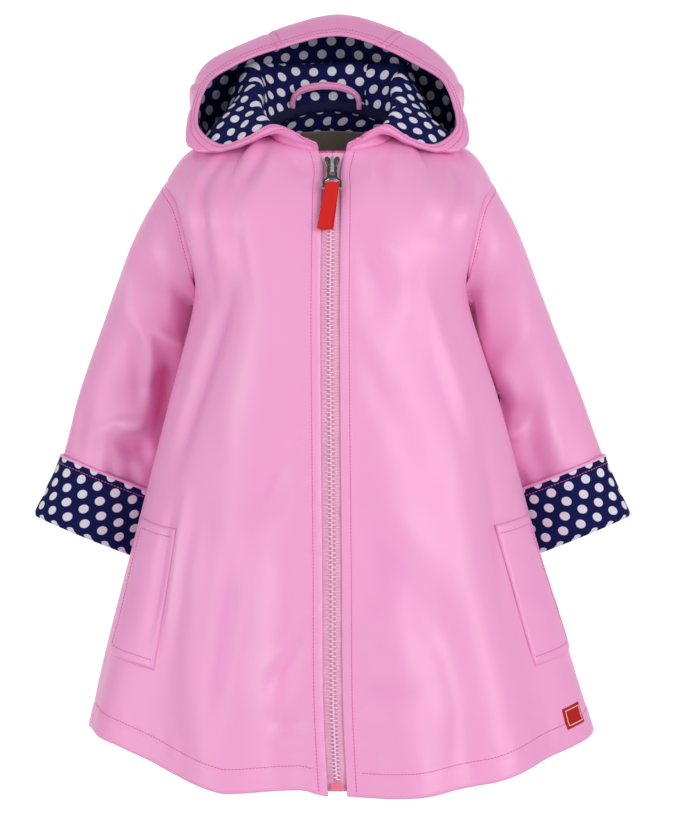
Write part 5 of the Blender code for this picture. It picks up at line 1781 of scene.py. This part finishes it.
def make_stage():
    """The floor, a pale world, three lamps and the camera."""
    make_floor()
    scene = bpy.context.scene
    scene.world = bpy.data.worlds.new("Studio")
    scene.world.use_nodes = True
    sky = scene.world.node_tree.nodes["Background"].inputs
    sky["Color"].default_value, sky["Strength"].default_value = (1, 1, 1, 1), 0.5
    for lamp in LAMPS:
        area = bpy.data.lights.new(lamp.name, "AREA")
        area.energy, area.size = lamp.power, lamp.size
        light = in_scene(lamp.name, area)
        light.location = lamp.place
        light.rotation_euler = (Vector(lamp.aim) - Vector(lamp.place)).to_track_quat("-Z", "Y").to_euler()
    lens = bpy.data.cameras.new("Camera")
    lens.sensor_fit, lens.sensor_height = "VERTICAL", SENSOR_HIGH
    lens.lens = SENSOR_HIGH * CAMERA_AWAY / (PICTURE_HIGH * PIXEL)
    scene.camera = in_scene("Camera", lens)
    scene.camera.location = (PICTURE_CENTRE[0], -CAMERA_AWAY, PICTURE_CENTRE[1])
    scene.camera.rotation_euler = (math.pi / 2, 0, 0)
    scene.view_settings.view_transform = "Standard"


# Properties, operators and panel


def length_property(name, description, default):
    limits = dict(min=default / 4, max=default * 4, precision=5, unit="LENGTH", subtype="DISTANCE")
    return bpy.props.FloatProperty(name=name, description=description, default=default, **limits)


def colour_property(name, description, default):
    limits = dict(min=0.0, max=1.0, size=3, subtype="COLOR")
    return bpy.props.FloatVectorProperty(name=name, description=description, default=default, **limits)


class RaincoatSizes(bpy.types.PropertyGroup):
    stitch_pitch: length_property("Stitch length", "Length of one topstitch with its gap", 0.0026)
    thread_width: length_property("Thread width", "Width of the topstitching thread", 0.00065)
    dot_pitch: length_property("Dot pitch", "Distance between dots along a row of the lining's print", 0.0143)
    dot_rows: length_property("Dot row spacing", "Distance between rows of dots", 0.0101)
    dot_size: length_property("Dot size", "Width of a dot", 0.0071)
    tooth_pitch: length_property("Tooth pitch", "Distance between teeth on one side of the zip", 0.0031)


class RaincoatColours(bpy.types.PropertyGroup):
    cloth: colour_property("Cloth", "Coated cloth", (0.88, 0.345, 0.63))
    lining: colour_property("Lining", "Ground of the dotted lining", (0.004, 0.006, 0.058))
    dot: colour_property("Dots", "Dots of the lining", (0.80, 0.76, 0.88))
    thread: colour_property("Thread", "Topstitching", (0.80, 0.105, 0.36))
    tape: colour_property("Zip tape", "Woven tape of the zip", (1.0, 0.52, 0.73))
    teeth: colour_property("Zip teeth", "Moulded teeth", (0.95, 0.58, 0.78))
    box: colour_property("Zip box", "Moulded stop at the zip's end", (0.87, 0.17, 0.28))
    metal: colour_property("Metal", "Plated slider, bridge and ring", (0.20, 0.19, 0.19))
    ribbon: colour_property("Pull ribbon", "Ribbon of the zip pull", (0.78, 0.012, 0.008))
    label: colour_property("Hem label", "Ground of the hem label", (0.60, 0.008, 0.008))
    neck_label: colour_property("Neck label", "Woven label at the back neck", (0.34, 0.29, 0.235))


class RaincoatOperator:
    """Makes one group of pieces."""

    bl_options = {"REGISTER", "UNDO"}

    def execute(self, context):
        self.make()
        return {"FINISHED"}


class RAINCOAT_OT_body(RaincoatOperator, bpy.types.Operator):
    """Make the fronts and the back with their creases and stitching"""

    bl_idname = "raincoat.body"
    bl_label = "Body"
    make = staticmethod(make_body)


class RAINCOAT_OT_sleeves(RaincoatOperator, bpy.types.Operator):
    """Make the sleeves with their folds"""

    bl_idname = "raincoat.sleeves"
    bl_label = "Sleeves"
    make = staticmethod(make_sleeves)


class RAINCOAT_OT_cuffs(RaincoatOperator, bpy.types.Operator):
    """Make the turned-back dotted cuffs"""

    bl_idname = "raincoat.cuffs"
    bl_label = "Cuffs"
    make = staticmethod(make_cuffs)


class RAINCOAT_OT_hood(RaincoatOperator, bpy.types.Operator):
    """Make the hood and its lining"""

    bl_idname = "raincoat.hood"
    bl_label = "Hood"
    make = staticmethod(make_hood)


class RAINCOAT_OT_neck(RaincoatOperator, bpy.types.Operator):
    """Make the neck facing, its label, the seam binding and the hanger loop"""

    bl_idname = "raincoat.neck"
    bl_label = "Neck"
    make = staticmethod(make_neck)


class RAINCOAT_OT_pockets(RaincoatOperator, bpy.types.Operator):
    """Make the pocket welts"""

    bl_idname = "raincoat.pockets"
    bl_label = "Pockets"
    make = staticmethod(make_pockets)


class RAINCOAT_OT_hem_label(RaincoatOperator, bpy.types.Operator):
    """Make the plain label at the hem"""

    bl_idname = "raincoat.hem_label"
    bl_label = "Hem label"
    make = staticmethod(make_hem_label)


class RAINCOAT_OT_zip(RaincoatOperator, bpy.types.Operator):
    """Make the zip's tapes, teeth and box"""

    bl_idname = "raincoat.zip"
    bl_label = "Zip"
    make = staticmethod(make_zip)


class RAINCOAT_OT_slider(RaincoatOperator, bpy.types.Operator):
    """Make the zip's slider and its bridge"""

    bl_idname = "raincoat.slider"
    bl_label = "Slider"
    make = staticmethod(make_slider)


class RAINCOAT_OT_pull(RaincoatOperator, bpy.types.Operator):
    """Make the slider's ring and ribbon"""

    bl_idname = "raincoat.pull"
    bl_label = "Pull"
    make = staticmethod(make_pull)


class RAINCOAT_OT_stage(RaincoatOperator, bpy.types.Operator):
    """Make the floor, lights and camera"""

    bl_idname = "raincoat.stage"
    bl_label = "Stage"
    make = staticmethod(make_stage)


OPERATORS = (
    RAINCOAT_OT_body,
    RAINCOAT_OT_sleeves,
    RAINCOAT_OT_cuffs,
    RAINCOAT_OT_hood,
    RAINCOAT_OT_neck,
    RAINCOAT_OT_pockets,
    RAINCOAT_OT_hem_label,
    RAINCOAT_OT_zip,
    RAINCOAT_OT_slider,
    RAINCOAT_OT_pull,
    RAINCOAT_OT_stage,
)


class RAINCOAT_PT_panel(bpy.types.Panel):
    """The raincoat's sizes, colours and pieces"""

    bl_idname = "RAINCOAT_PT_panel"
    bl_label = "Toddler Raincoat"
    bl_space_type = "VIEW_3D"
    bl_region_type = "UI"
    bl_category = "Raincoat"

    def draw(self, context):
        for group in (context.scene.raincoat_sizes, context.scene.raincoat_colours):
            box = self.layout.box()
            for name in group.bl_rna.properties.keys():
                if name not in ("rna_type", "name"):
                    box.prop(group, name)
        for operator in OPERATORS:
            self.layout.operator(operator.bl_idname)


CLASSES = (RaincoatSizes, RaincoatColours, *OPERATORS, RAINCOAT_PT_panel)


def register():
    for one in CLASSES:
        bpy.utils.register_class(one)
    bpy.types.Scene.raincoat_sizes = bpy.props.PointerProperty(type=RaincoatSizes)
    bpy.types.Scene.raincoat_colours = bpy.props.PointerProperty(type=RaincoatColours)


def unregister():
    del bpy.types.Scene.raincoat_colours
    del bpy.types.Scene.raincoat_sizes
    for one in reversed(CLASSES):
        bpy.utils.unregister_class(one)


def main():
    register()
    ops = bpy.ops.raincoat
    ops.body()
    ops.sleeves()
    ops.cuffs()
    ops.hood()
    ops.neck()
    ops.pockets()
    ops.hem_label()
    ops.zip()
    ops.slider()
    ops.pull()
    ops.stage()


if __name__ == "__main__":
    main()
